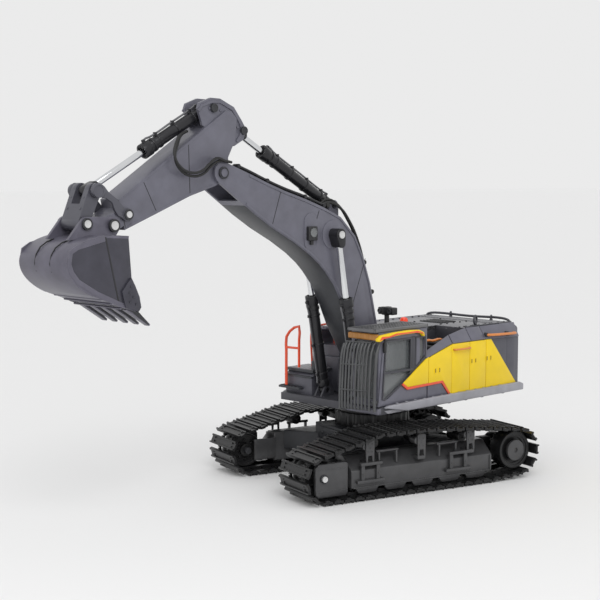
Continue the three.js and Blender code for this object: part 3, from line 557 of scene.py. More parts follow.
for side, sign in (("left", 1), ("right", -1)):
    idler, idlerRadius = roundOf(side + "_idler_wheel")
    sprocket, sprocketRadius = roundOf(side + "_drive_sprocket")
    circles = [(idler.x, idler.z, idlerRadius), (sprocket.x, sprocket.z, sprocketRadius),
               (track["groundRoller"], idler.z, idlerRadius)]
    for place in ("rear", "middle", "front"):
        roller, radius = roundOf(f"{side}_{place}_top_roller")
        circles.append((roller.x, roller.z, radius))
    middle = idler.y
    face = middle + sign * track["frameFace"]
    loop = hullOf(circles, track["fit"])
    steps, pitch = evenSteps(loop, track["shoes"])
    first = shoeOf(pitch)
    shoes = []
    for i, ((x, z), heading) in enumerate(steps):
        turn = Matrix.Translation((x * mm, middle * mm, z * mm)) @ Matrix.Rotation(-heading - pi, 4, 'Y')
        shoe = copied(first, f"shoe_{i}", turn=turn)
        shoes.append(shoe)
    bpy.data.objects.remove(first)
    belt = merged(side + "_track_shoes", shoes)
    fit(belt, "undercarriage", trackSteel, [side + "_track_belt"], trackShift)

    # long side frame: upright face, sloping top, rounded front cover
    inner = middle - sign * 15
    profile = [(face, track["frameLow"]), (face, track["frameFold"]), (middle + sign * 1, track["frameTop"]),
               (inner, track["frameTop"]), (inner, track["frameLow"])]
    section = sheet(side + "_side_frame_box", [(track["frameRear"], y, z) for y, z in profile])
    parts = [pushed(section, (track["frameLength"], 0, 0), 1.3, 3)]
    out = lambda a, b: pair(face + sign * a, face + sign * b)
    cover = [(95.5, 9), (98, 6.6), (130, 6.6), (134.5, 10), (135, 38), (131, 42), (98, 42), (95.5, 39.5)]
    parts.append(plate("idler_cover", cover, out(-2.5, 2.2), 1, 3))
    parts.append(block("cover_rib", (98, 131), out(2, 2.7), (35.6, 36.6), 0.2))
    parts.append(block("cover_rib", (98, 131), out(2, 2.7), (12.4, 13.4), 0.2))
    parts.append(block("frame_rib", (-92, 88), out(-0.3, 0.8), (11.2, 12.6), 0.3))
    parts.append(block("end_rib", (-92.6, -90.4), out(-1, 1.1), (11.5, 29), 0.4))
    parts.append(block("far_web", (88, 116), pair(middle - sign * 12.5, middle - sign * 15.5), (14, 38), 1))
    for x in (68, -46):      # two H-shaped steps
        parts.append(block("step_top", (x - 14, x + 13), out(-0.5, 4.6), (35, 38.4), 0.8))
        parts.append(block("step_low", (x - 17, x + 17), out(-0.5, 4.4), (16.4, 20), 0.8))
        for leg in (-9.5, 9.5):
            parts.append(block("step_leg", (x + leg - 2.2, x + leg + 2.2), out(-0.5, 3.4), (19, 36), 0.6))
            parts.append(bar("step_bolt", (x + leg, face + sign * 3, 26), (x + leg, face + sign * 4.2, 26), 1, 6))
    for x in (69, 3.5, -62):      # upright plates beside the top rollers
        shape = [(x - 5.4, 60), (x - 4.4, 62), (x + 4.4, 62), (x + 5.4, 60), (x + 5.2, 48), (x + 5, 37.5),
                 (x + 3, 37.5), (x + 2.4, 45), (x - 2.4, 45), (x - 3, 37.5), (x - 5, 37.5), (x - 5.2, 48)]
        parts.append(plate("roller_stay", shape, out(1.6, 3.6), 0.5))
        parts.append(block("stay_foot", (x - 5, x + 5), out(-12, 3.4), (34.5, 38.5), 0.8))
        for dx, z in ((-2.6, 57.5), (2.6, 57.5), (0, 53.5), (-2.6, 49.5), (2.6, 49.5)):
            parts.append(bar("stay_stud", (x + dx, face + sign * 3.4, z), (x + dx, face + sign * 4.3, z), 0.8, 8))
        parts.append(bar("roller_stub", (x + 4, middle + sign * 9, 55), (x + 4, face + sign * 1.8, 55), 4.2, 20))
    for x in (43, -35):      # grease pipes on top
        parts.append(bar("grease_pipe", (x - 14, face - sign * 4, 47.3), (x + 14, face - sign * 4, 47.3), 1.5, 14))
        for dx in (-11, 11):
            parts.append(block("pipe_clip", (x + dx - 1, x + dx + 1), out(-6, -2), (34, 46.5), 0.3))
    for i in range(5):      # guards between the lower rollers
        x = -72 + i * 35.5
        lobe = [(x - 15, 12), (x - 11, 6.2), (x - 8, 5.4), (x + 8, 5.4), (x + 11, 6.2), (x + 15, 12)]
        parts.append(plate("roller_guard", lobe, out(-3.4, -0.4), 0.5))
    frameMesh = merged(side + "_side_frame_body", parts)
    fit(frameMesh, "undercarriage", frameGrey, [side + "_side_frame"], trackShift)

    rollers = []
    for i in range(track["rollers"]):
        x = -78 + i * 27
        rollers.append(bar("lower_roller", (x, middle - 12, 12.2), (x, middle + 12, 12.2), 4.8, 20, ((1.2, 0.6),)))
        rollers.append(bar("roller_axle", (x, middle - 14.5, 12.2), (x, middle + 14.5, 12.2), 2.4, 12))
    fitAll(side + "_lower_rollers", rollers, "undercarriage", "black_metal", trackSteel, [], trackShift)

    wheel = [bar("idler_tyre", (idler.x, middle - 11, idler.z), (idler.x, middle + 11, idler.z), idlerRadius, 56,
                 ((2.6, 0.8), (3, 2.4)), 0.5),
             bar("idler_hub", (idler.x, middle - 12.5, idler.z), (idler.x, middle + 12.5, idler.z), 7, 28)]
    for i in range(8):
        a = 2 * pi * i / 8
        at = (idler.x + 10.4 * cos(a), idler.z + 10.4 * sin(a))
        wheel.append(bar("idler_bolt", (at[0], middle - 10.4, at[1]), (at[0], middle + 10.4, at[1]), 1.1, 8))
    fitAll(side + "_idler_tyre", wheel, side + "_idler", "black_metal", trackSteel,
        [side + "_idler_wheel"], trackShift)
    axle = [bar("idler_boss", (idler.x, face + sign * 1.8, idler.z), (idler.x, face + sign * 4, idler.z), 4.6, 28,
                ((0.7, 0.5),)),
            bar("idler_shaft", (idler.x, middle - sign * 18, idler.z), (idler.x, face, idler.z), 3.8, 20)]
    fitAll(side + "_idler_shaft", axle, "undercarriage", "charcoal_metal", charcoalWorn,
        [side + "_idler_axle"], trackShift)
    fit(bar(side + "_idler_pin_end", (idler.x, face + sign * 3.2, idler.z), (idler.x, face + sign * 5.6, idler.z),
            3.1, 28, ((0.6, 0.35),), 0.3), "undercarriage", pinEnd, [], trackShift)

    # toothed ring, dished hub with a ring of bolts, flat cap
    rim, teeth = [], 15
    for i in range(teeth * 6):
        a = 2 * pi * (i + 0.5) / (teeth * 6)
        r = sprocketRadius - (0.3, 0, 0.3, 3.4, 3.9, 3.4)[i % 6]
        rim.append((sprocket.x + r * cos(a), sprocket.z + r * sin(a)))
    drive = [plate("tooth_ring", rim, (middle - 4.5, middle + 4.5), 0.4)]
    hubSteps = ((2.2, 0.7), (1.2, 1.6), (2.6, 2.4))
    drive.append(bar("drive_hub", (sprocket.x, middle, sprocket.z), (sprocket.x, face + sign * 1.4, sprocket.z),
                     20.8, 56, hubSteps, 0.5))
    drive.append(bar("drive_neck", (sprocket.x, middle, sprocket.z), (sprocket.x, face + sign * 0.6, sprocket.z),
                     8.8, 36))
    for i in range(14):
        a = 2 * pi * i / 14
        at = (sprocket.x + 15.6 * cos(a), sprocket.z + 15.6 * sin(a))
        drive.append(bar("hub_bolt", (at[0], face - sign * 4, at[1]), (at[0], face - sign * 0.9, at[1]), 1.05, 6))
    fitAll(side + "_sprocket_wheel", drive, side + "_sprocket", "black_metal", trackSteel,
        [side + "_drive_sprocket"], trackShift)
    cap = [bar("hub_cap", (sprocket.x, face + sign * 0.4, sprocket.z), (sprocket.x, face + sign * 3.8, sprocket.z),
               11.6, 44, ((9, 1.8),), 0.5)]
    fitAll(side + "_sprocket_cap", cap, side + "_sprocket", "charcoal_metal", frameGrey, [], trackShift)
    for node in ("_final_drive", "_rear_top_roller", "_middle_top_roller", "_front_top_roller"):
        fromCad(side + node, trackSteel, 0.5)
    print(side, "track made")

# centre of the chassis
fromCad("chassis_frame", charcoalWorn, 1.2, 3)
fromCad("slew_ring", trackSteel, 0.4)
trim = []
for sx in (1, -1):
    trim.append(block("cross_cover", (sx * 49, sx * 54), (-26, 26), (42, 55), 1.2))
    for y in (-18, -6, 6, 18):
        trim.append(bar("cover_bolt", (sx * 53, y, 48.5), (sx * 55, y, 48.5), 1.5, 6))
fitAll("chassis_trim", trim, "undercarriage", "charcoal_metal", charcoalWorn, [], trackShift)
ring = [bar("slew_bolt", (36 * cos(a), 36 * sin(a), 57), (36 * cos(a), 36 * sin(a), 59), 1.2, 6, bevel=0.2)
        for a in (2 * pi * i / 20 for i in range(20))]
fitAll("slew_bolts", ring, "undercarriage", "charcoal_metal", charcoalWorn, [], trackShift)


def at2(point, y):
    return (point[0], y, point[1])


def flat(pin):      # a pin as (x, z)
    return (pin.x, pin.z)


def onLine(start, end, along, above):      # a place along and above the line of a cylinder, as (x, z)
    run = Vector((end[0] - start[0], end[1] - start[1])).normalized()
    return (start[0] + run.x * along - run.y * above, start[1] + run.y * along + run.x * above)


def discOutline(centre, radius, count=40):
    return [(centre[0] + radius * cos(2 * pi * i / count), centre[1] + radius * sin(2 * pi * i / count))
            for i in range(count)]


def strapOutline(ends):      # the string round circles of (x, z, radius)
    loop = hullOf(ends, 0)
    return loop[::3]


def pinEnds(name, at, reach, radius, body, face, collar=1.9):      # dark collars, bright faces
    dark, bright = [], []
    for sign in (1, -1):
        dark.append(bar("collar", at2(at, sign * (reach - 2.6)), at2(at, sign * (reach - 0.4)), radius + collar, 32,
                        ((1.3, 0.5),)))
        bright.append(bar("face", at2(at, sign * (reach - 2)), at2(at, sign * reach), radius, 32, ((0.7, 0.4),), 0.3))
    fitAll(name + "_collars", dark, body, "charcoal_metal", charcoalWorn)
    bright.append(bar("shaft", at2(at, 1 - reach), at2(at, reach - 1), radius * 0.94, 24))
    return fitAll(name + "_bright", bright, body, "chrome", face, [name])


cylinder = {"radius": 6.4, "collar": 7.5, "rod": 3.3, "boom": (109, 62), "stick": (116, 72), "bucket": (90, 42)}


def cylinderOf(name, start, end, y, gland, inside, barrelBody, rodBody, eye, eyeSpan, pipeSide, clampCount):
    start, end = flat(start), flat(end)
    length = math.dist(start, end)
    place = lambda u, v=0, dy=0: at2(onLine(start, end, u, v), y + dy)
    r, big = cylinder["radius"], cylinder["collar"]
    parts = [bar("tube", place(5.5), place(gland - 4), r - 0.4, 40, bevel=0.3),
             bar("head", place(gland - 9.5), place(gland), big, 40, ((2.2, 0.9), (0.8, 1.2)), 0.5),
             bar("band", place(gland - 16), place(gland - 12.5), r + 0.5, 40),
             bar("foot", place(4.6), place(13), r + 0.3, 40, bevel=0.6),
             bar("boss", place(0, 0, -3.1), place(0, 0, 3.1), 5.1, 32),
             bar("port", place(gland - 6, 0), place(gland - 6, pipeSide * (big + 2.4)), 1.9, 16),
             bar("port", place(11, 0), place(11, pipeSide * (r + 3.2)), 1.9, 16)]
    for i in range(8):
        a = 2 * pi * i / 8
        head = [place(g, (big - 2) * cos(a), (big - 2) * sin(a)) for g in (gland - 1, gland + 0.5)]
        parts.append(bar("head_bolt", head[0], head[1], 0.75, 6, bevel=0.1))
    for i in range(clampCount):
        u = 20 + (gland - 42) * i / max(1, clampCount - 1)
        parts.append(bar("strap", place(u - 1.3), place(u + 1.3), r + 0.35, 36))
        parts.append(block("clamp", (-1.5, 1.5), (-1.7, 1.7), (-1.6, 1.6), 0.4))
        here = place(u, pipeSide * (r + 1.4))
        parts[-1].data.transform(Matrix.Translation(Vector(here) * mm))
    fitAll(name + "_barrel_body", parts, barrelBody, nodeSlot[name + "_barrel"], cylinderPaint,
        [name + "_barrel"])
    pipe = [place(gland - 6, pipeSide * (big + 1)), place(gland - 9, pipeSide * (r + 2.9)),
            place(gland - 15, pipeSide * (r + 1.9)), place(gland / 2, pipeSide * (r + 1.7)),
            place(18, pipeSide * (r + 1.9)), place(11, pipeSide * (r + 2.6))]
    fit(tube(name + "_pipe", pipe, 1.0), barrelBody, pipeMetal)
    shaft = bar("shaft", place(gland - inside), place(length - eye + 1), cylinder["rod"], 32, ((0.5, 0.1),))
    fit(named(shaft, name + "_rod_shaft"), rodBody, chrome, [name + "_rod"])
    low, high = eyeSpan
    shape = strapOutline([(end[0], end[1], eye), (*onLine(start, end, length - eye - 3, 0), 4.6)])
    eyeParts = [plate("eye", shape, (low, high), 0.7, 3)]
    fitAll(name + "_rod_eye", eyeParts, rodBody, "charcoal_metal", cylinderPaint)
    return end


cylinderPaint = wornPaint("cylinder_black_paint", (0.019, 0.019, 0.022), (0.14, 0.14, 0.14), 0.3, 0.3, 0.0007, 0.5)
pipeMetal = paint("pipe_dull_steel", (0.16, 0.16, 0.17), 0.35, 0.7, 0, 0.12)
boomEye = (84, 274)
stickEye = (206, 381)
linkTop = (388.5, 322.4)
for side, sign in (("left", 1), ("right", -1)):
    y = sign * 26
    span = pair(sign * 18.4, sign * 32)
    cylinderOf(side + "_boom_cylinder", boomBase, Vector((*boomEye[:1], 0, boomEye[1])), y, *cylinder["boom"],
               side + "_boom_barrel", side + "_boom_rod", 6.6, span, -1, 3)
    fit(bar(side + "_boom_eye_face", at2(boomEye, y), at2(boomEye, sign * 33.2), 4, 32, ((0.8, 0.5),), 0.3),
        side + "_boom_rod", pinEnd)
cylinderOf("stick_cylinder", stickBase, Vector((stickEye[0], 0, stickEye[1])), 0, *cylinder["stick"],
           "stick_barrel", "stick_rod", 5.4, (-5, 5), 1, 4)
cylinderOf("bucket_cylinder", bucketBase, Vector((linkTop[0], 0, linkTop[1])), 0, *cylinder["bucket"],
           "bucket_barrel", "bucket_rod", 5.6, (-4.4, 4.4), 1, 3)
print("cylinders made")

for node, body, at, reach, radius in (
        ("boom_foot_pin", "boom", flat(boomFoot), 19.6, 4), ("boom_tip_pin", "boom", flat(boomTip), 20.2, 4.1),
        ("rocker_pin", "stick", flat(rockerPin), 20.8, 3.1), ("bucket_pin", "stick", flat(bucketPin), 21.4, 4.1),
        ("link_pin", "bucket", flat(linkPin), 20.8, 3.6)):
    pinEnds(node, at, reach, radius, body, slate if node == "boom_tip_pin" else pinEnd)

# boom: CAD box with stiffening rims, lamp recess, clipped pipes
fromCad("boom", slate, 1.1, 3)
boomLook = {"half": 18, "lamp": (117, 276), "lampSize": (13, 15), "rim": 0.7}
boomEdges = [[18.1, 115], [38.2, 144.4], [56.8, 174], [70, 201], [81.8, 220.1], [94, 234], [103.8, 243.2],
             [119, 254.4], [141.6, 267.8], [170.1, 282.2], [194.3, 296.6], [209, 306.5]]
boomTopEdge = [[203, 338.2], [178, 328.9], [154.1, 320.8], [123.8, 312], [96.2, 302.7], [71.1, 292.4], [48.3, 271.5],
               [34.8, 247.5], [23.8, 218.5], [16.7, 189.9], [8.5, 157.7], [3, 135]]


def strip(name, points, width, depth, span):      # a thin strip that follows an edge, as a swept band
    left, right = [], []
    for i, here in enumerate(points):
        before, after = points[max(0, i - 1)], points[min(len(points) - 1, i + 1)]
        run = Vector((after[0] - before[0], after[1] - before[1])).normalized()
        left.append((here[0] - run.y * width, here[1] + run.x * width))
        right.append((here[0] - run.y * depth, here[1] + run.x * depth))
    return plate(name, left + right[::-1], span, 0.25)


trims = []
for sign in (1, -1):
    span = pair(sign * (boomLook["half"] - 0.3), sign * (boomLook["half"] + boomLook["rim"]))
    trims.append(strip("low_rim", boomEdges, 3.4, 0.7, span))
    trims.append(strip("top_rim", boomTopEdge, 3.0, 0.7, span))
    trims.append(plate("eye_ring", discOutline(boomEye, 15.5, 56), span, 0.3))
    trims.append(plate("foot_ring", discOutline(flat(boomFoot), 11, 48), pair(sign * 17, sign * 18.5), 0.3))
    x, z = boomLook["lamp"]
    recess = [(x + 9.5 * cos(a), z + (12 if sin(a) > 0 else -8) + 9.5 * sin(a))
              for a in (2 * pi * i / 40 for i in range(40))]
    trims.append(plate("lamp_ring", recess, span, 0.3))
fitAll("boom_rims", trims, "boom", "slate_metal", slate)
lampParts = []
for sign in (1, -1):
    x, z = boomLook["lamp"]
    w, h = boomLook["lampSize"]
    lampParts.append(block("lamp_body", (x - w / 2, x + w / 2), pair(sign * 18, sign * 23),
                           (z - h / 2, z + h / 2), 1.2, 3))
    lampParts.append(block("lamp_foot", (x - 2, x + 2), pair(sign * 18, sign * 21), (z - 12, z - 6), 0.5))
fitAll("boom_lamps", lampParts, "boom", "black_metal", blackMoulding)
lens = [bar("lens", (x, s * 22.6, z + 1), (x, s * 23.8, z + 1), 4.8, 28, ((0.8, 0.5),)) for s in (1, -1)]
fitAll("boom_lamp_lenses", lens, "boom", "glass", glass)

pipeRoute = [[216, 346.1], [198.9, 340], [176.7, 331.6], [153, 323.6], [122.7, 314.9], [94.9, 305.5]]
pipes = []
for y in (11, 14.6):
    pipes.append(tube("oil_pipe", [(x, y, z) for x, z in pipeRoute], 1.4))
for x, z in (pipeRoute[0], pipeRoute[2], pipeRoute[4], pipeRoute[5]):
    pipes.append(bar("pipe_clip", (x, 8.6, z - 0.3), (x, 17, z - 0.3), 2.3, 8))
fitAll("boom_oil_pipes", pipes, "boom", "rubber", cylinderPaint, ["boom_hose"])
far = []
for y in (-11, -14.6):
    far.append(tube("oil_pipe", [(x, y, z - 1.0) for x, z in pipeRoute], 1.3))
for x, z in (pipeRoute[0], pipeRoute[2], pipeRoute[4], pipeRoute[5]):
    far.append(block("pipe_clip", (x - 1.8, x + 1.8), (-16.8, -9), (z - 3.4, z + 1.2), 0.4))
fitAll("boom_far_pipes", far, "boom", "charcoal_metal", cylinderPaint)
hoses = []
for y, rise in ((13, 5), (9.5, 8)):      # hoses that loop over the knee to the boom foot
    hoses.append(tube("knee_hose", [(96, y, 305.6), (84, y + 0.5, 303 + rise), (68, y + 1, 297 + rise),
                                    (52, y, 283 + rise * 0.8), (38, y - 1, 261 + rise), (28, y - 2, 238 + rise),
                                    (20, y - 3, 212 + rise * 0.4)], 1.5))
    hoses.append(tube("knee_hose", [(20, y - 3, 212 + rise * 0.4), (13, -y * 0.1, 190), (5, 0, 160), (-6, 4, 130)],
                      1.5))
for x, z in ((88, 302.5), (30, 239), (17.5, 206)):
    hoses.append(bar("hose_collar", (x, 7, z + 2.6), (x, 16, z + 2.6), 2.6, 12))
fitAll("knee_hoses", hoses, "boom", "rubber", rubber)
tipPath = [(227.2, 18, 349.4), (235.5, 19.4, 350.4), (248.3, 21, 349.8), (258.1, 22, 344.6), (267.7, 22.6, 338),
           (282, 22.6, 335.8),
           (294.8, 22, 341.2), (300.8, 21, 351.9), (294.1, 17, 367.2), (281.5, 8.6, 376.3), (274, 6.6, 379)]
for i, (lift, out) in enumerate(((0, 0), (3.2, 1.6))):
    route = [(x + lift * 0.6, y + out, z + lift * (1 if 1 < n < 9 else 0)) for n, (x, y, z) in enumerate(tipPath)]
    hose = tube("tip_hose", route, 1.35)
    hose = named(hose, "tip_hose_" + "ab"[i])
    hose.data.transform(houseTurn)
    hose.data.materials.clear()
    hose.data.materials.append(rubber)
    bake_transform(hose)
print("boom made")

# stick and linkage
fromCad("stick", slate, 1.0, 3)
stickTrim = []
for sign in (1, -1):
    span = pair(sign * 14.3, sign * 15.1)
    for ends in (((279.1, 366), (277.7, 317.6)), ((333.6, 329.9), (319, 302.5)), ((357.5, 295.6), (355.5, 288))):
        (x0, z0), (x1, z1) = ends
        stickTrim.append(plate("seam", [(x0 - 0.45, z0), (x0 + 0.45, z0), (x1 + 0.45, z1), (x1 - 0.45, z1)],
                               pair(sign * 14.3, sign * 14.72), 0.1))
fitAll("stick_seams", stickTrim, "stick", "black_metal", blackMoulding)
rims = []
for sign in (1, -1):
    span = pair(sign * 14.3, sign * 14.85)
    rims.append(strip("stick_low_rim", [(248, 325.4), (278.1, 316.5), (319.7, 300.2), (352, 287.8)], 2.6, 0.3, span))
    rims.append(strip("stick_top_rim", [(358, 317.2), (299.7, 354.8), (236, 396.6)], 2.2, 0.3, span))
    rims.append(plate("tip_boss", discOutline(flat(boomTip), 8.4, 44), span, 0.3))
    rims.append(plate("end_boss", discOutline(flat(rockerPin), 5.6, 36), pair(sign * 14, sign * 14.9), 0.3))
    outer = pair(sign * 11.2, sign * 12.6)
    tail = [(264.7, 398.9), (260.5, 404.5), (247.8, 408.6), (236, 409.1), (220, 402.4), (209.8, 389.8),
            (206.4, 381.6), (209.8, 374.5), (214.1, 369.4)]
    rims.append(strip("tail_rim", tail, 2.2, -0.6, outer))
    for x, z in ((224, 394), (236, 400), (250, 401.5), (213.5, 384)):
        rims.append(bar("tail_bolt", (x, sign * 11.4, z), (x, sign * 12.6, z), 1.3, 6, bevel=0.2))
fitAll("stick_rims", rims, "stick", "slate_metal", slate)
rockerShape = [(394.2, 324), (393.4, 327.6), (390, 329.6), (385.3, 329.4), (381, 326.6), (376.5, 321.5), (371, 317.6),
               (365.9, 314.1), (361, 309), (358.6, 306.6), (352.6, 306.2), (348.8, 302.6), (348.8, 297.8),
               (352.4, 294.2), (357.4, 294.2), (361.4, 297.6), (366, 299.4), (370, 305), (372.4, 311.4),
               (379, 315.4), (386, 316.8), (391, 317.6), (393.6, 320.4)]
for side, sign in (("left", 1), ("right", -1)):
    span = pair(sign * 15.0, sign * 18.1)
    parts = [plate("rocker", rockerShape, span, 0.7, 3),
             bar("rocker_boss", at2(linkTop, sign * 15), at2(linkTop, sign * 20.4), 6.4, 32, ((1.5, 0.6),)),
             bar("rocker_foot", at2(flat(rockerPin), sign * 15), at2(flat(rockerPin), sign * 18.9), 5.6, 32)]
    fitAll(side + "_rocker_plate", parts, "rockers", "charcoal_metal", weightPaint, [side + "_rocker"])
fromCad("bucket_link", weightPaint, 0)
along = Vector((flat(linkPin)[0] - linkTop[0], flat(linkPin)[1] - linkTop[1])).normalized()
bridge = [bar("link_tube", at2(linkTop, s * 6.8), at2(linkTop, s * 13.4), 7.2, 36) for s in (1, -1)]
bridge.append(bar("link_low_tube", at2(flat(linkPin), -13.4), at2(flat(linkPin), 13.4), 6.2, 36))
for s in (1, -1):
    for u in (9, 20):
        here = (linkTop[0] + along.x * u, linkTop[1] + along.y * u)
        bridge.append(bar("link_stud", (here[0] + 5.2, s * 10, here[1] + 2.2), (here[0] + 6.4, s * 10, here[1] + 2.8),
                          1.3, 8))
fitAll("bucket_link_tubes", bridge, "bucket_link", "charcoal_metal", weightPaint)
shade = [strip("stick_back_skin", [(357, 316.6), (299.7, 354.2), (237, 395.4)], -0.4, 0.35, (-13.9, 13.9)),
         strip("stick_end_skin", [(248, 325.9), (278.1, 317), (319.7, 300.7), (351, 288.4)], 0.4, -0.35,
               (-13.9, 13.9))]
fitAll("stick_dark_faces", shade, "stick", "slate_metal", charcoal)
shade = [strip("boom_under_skin", boomEdges, 0.5, -0.3, (-17.2, 17.2)),
         strip("boom_top_skin", boomTopEdge, 0.5, -0.3, (-17.2, 17.2))]
fitAll("boom_dark_faces", shade, "boom", "slate_metal", charcoal)
seamParts = []
for sign in (1, -1):
    for (x0, z0), (x1, z1) in (((58.4, 181), (32, 246)), ((120.6, 258), (104, 300)), ((172, 286), (160, 320))):
        seamParts.append(plate("boom_seam", [(x0 - 0.4, z0), (x0 + 0.4, z0), (x1 + 0.4, z1), (x1 - 0.4, z1)],
                               pair(sign * 17.6, sign * 18.2), 0.1))
fitAll("boom_seams", seamParts, "boom", "black_metal", blackMoulding)
for pin, name in ((stickEye, "stick_eye_pin_cap"), (flat(bucketBase), "bucket_base_pin_cap")):
    fit(bar(name, at2(pin, -14.6), at2(pin, 14.6), 4.2, 28, ((1, 0.5),)), "stick", charcoalWorn)
print("stick and linkage made")

# bucket
fromCad("bucket", bucketPaint, 0.7, 3)
wear, cutters, seams = [], [], []
for sign in (1, -1):
    side = lambda a, b: pair(sign * a, sign * b)
    edge = [(368.6, 280), (396, 281.6), (425.5, 275), (434, 270), (436.2, 258.7), (433.4, 250.2), (426.2, 241.4),
            (405.9, 229.4), (380.8, 218.4), (362, 212.6)]
    wear.append(strip("side_rim", edge[1:], 0.5, -4, side(37, 37.95)))
    seams.append(plate("side_seam", [(394.4, 281.4), (396, 281.4), (381.6, 219), (380, 218.6)], side(37.2, 37.9),
                       0.1))
    cutter = [(367.7, 243.6), (371.5, 240), (378.5, 231.7), (376, 221), (374, 216.2), (360, 212), (357, 216),
              (359, 226), (363.6, 236)]
    cutters.append(plate("side_cutter", cutter, side(37.2, 39.6), 0.6))
    for x, z in ((368.6, 236), (370.6, 230), (366, 226), (370, 221.6), (363, 219)):
        cutters.append(bar("cutter_bolt", (x, sign * 39, z), (x, sign * 40.4, z), 1.3, 6, ((0.4, 0.2),), 0.2))
for (x, z) in ((421, 236.7), (411, 231.1), (400, 226), (389, 221.2), (378, 216.3)):      # ribs under the floor
    wear.append(bar("floor_rib", (x, -36.6, z - 0.1), (x, 36.6, z - 0.1), 1.1, 10))
backRound = []
for (x0, z0), (x1, z1), (x2, z2), (x3, z3) in (((24, -8), (56, -12), (66, -24), (65, -34)),
                                               ((65, -34), (64, -46), (50, -57), (34, -63))):
    for i in range(14):
        t = i / 14
        weights = ((1 - t) ** 3, 3 * t * (1 - t) ** 2, 3 * t * t * (1 - t), t ** 3)
        backRound.append((bucketPin.x + sum(w * x for w, x in zip(weights, (x0, x1, x2, x3))),
                          bucketPin.z + sum(w * z for w, z in zip(weights, (z0, z1, z2, z3)))))
backSkin = strip("bucket_back_skin", backRound, 0.35, -1.6, (-37.3, 37.3))
fit(backSkin, "bucket", bucketPaint)
sideShape = [(369.4, 279.2), (396, 280.8), (422, 276.4), (432.6, 269.6), (435.2, 258.7), (432.4, 250.6),
             (425.6, 242.4), (405.7, 230.2), (380.4, 219.2), (370, 215.6), (366.6, 243)]
for sign in (1, -1):
    skin = plate(("left" if sign > 0 else "right") + "_bucket_side", sideShape, pair(sign * 37, sign * 37.7), 0.2)
    fit(skin, "bucket", bucketSide)
backCurve = [(416, 278.6), (424, 276.4), (431, 272), (435.4, 265.6), (437.0, 258), (435, 250.4)]
for y in (-12, 12):
    seams.append(strip("back_groove", backCurve, 0.8, -0.35, (y - 0.5, y + 0.5)))
fitAll("bucket_wear_bars", wear, "bucket", "slate_metal", bucketPaint)
fitAll("bucket_seams", seams, "bucket", "black_metal", blackMoulding)
teethParts = []
for i in range(5):
    y = -33 + i * 16.5
    adapter = [(374.4, 220), (368, 221.4), (360, 214.6), (357, 208.6), (361, 209.6), (372, 215)]
    teethParts.append(plate("tooth_holder", adapter, (y - 4.6, y + 4.6), 0.8))
    tip = [(362, 214), (357, 210.8), (346.2, 199.4), (347.2, 198.4), (360, 207.4), (364.5, 210.6)]
    teethParts.append(plate("tooth", tip, (y - 3.9, y + 3.9), 0.6))
    teethParts.append(bar("tooth_pin", (361, y - 4.9, 211.2), (361, y + 4.9, 211.2), 1.1, 8))
fitAll("bucket_teeth", teethParts, "bucket", "slate_metal", charcoalWorn)
fitAll("bucket_side_cutters", cutters, "bucket", "slate_metal", bucketSide)
print("bucket made")


def panel(name, corners, thickness, bevel=0.4):      # a sheet through corners (x, y, z), thickened inwards
    obj = sheet(name, corners)
    bpy.ops.object.mode_set(mode='OBJECT')
    modify(obj, 'SOLIDIFY', thickness=thickness * mm, offset=-1)
    editFaces(obj, lambda face: True)
    bpy.ops.mesh.normals_make_consistent(inside=False)
    bpy.ops.object.mode_set(mode='OBJECT')
    soften(obj, bevel)
    return obj


def sliced(outline, low, high):      # the part of an outline between two places on x
    for edge, keep in ((low, 1), (high, -1)):
        made = []
        for (x0, z0), (x1, z1) in zip(outline, outline[1:] + outline[:1]):
            inside0, inside1 = (x0 - edge) * keep >= 0, (x1 - edge) * keep >= 0
            if inside0:
                made.append((x0, z0))
            if inside0 != inside1:
                share = (edge - x0) / (x1 - x0)
                made.append((edge, z0 + (z1 - z0) * share))
        outline = made
    return outline


def handle(name, start, end, stand, radius=1.5):      # a grab rail on two stubs
    start, end, stand = Vector(start), Vector(end), Vector(stand)
    run = (end - start).normalized() * 3
    points = [start - stand * 0.2, start + stand * 0.7, start + stand + run, end + stand - run, end + stand * 0.7,
              end - stand * 0.2]
    return tube(name, points, radius)


# deck and sills
fromCad("house_deck", slateDark, 1.0)
sills = []
for sign in (1, -1):
    rear = -179 if sign > 0 else -146
    sill = [(rear, 84.6), (30, 84.6), (66, 91.4), (60, 93.4), (-20, 94.4), (rear + 7, 94.4), (rear, 92)]
    sills.append(plate("sill", sill, pair(sign * 74.8, sign * 79.4), 1.1, 3))
    sills.append(plate("sill_foot", [(rear + 6, 84.2), (58, 84.2), (64, 88), (rear + 6, 88)],
                       pair(sign * 68, sign * 76), 0.6))
for x in range(-135, 50, 15):
    for sign in (1, -1):
        sills.append(bar("sill_stud", (x, sign * 77, 94.2), (x, sign * 77, 94.9), 1.6, 10, bevel=0.2))
fitAll("deck_sills", sills, "house", "slate_metal", sillGrey)
fit(block("cab_front_sill", (68, 74), (30, 75.6), (84.4, 91), 1.1, 3), "house", slate)
belly = [block("belly_rib", (x, x + 4), (-66, 66), (80.5, 84.4), 0.8) for x in (-160, -120, -90, -60)]
belly.append(bar("belly_ring", (0, 0, 83.6), (0, 0, 86), 48, 64))
fitAll("belly_ribs", belly, "house", "charcoal_plastic", charcoal)

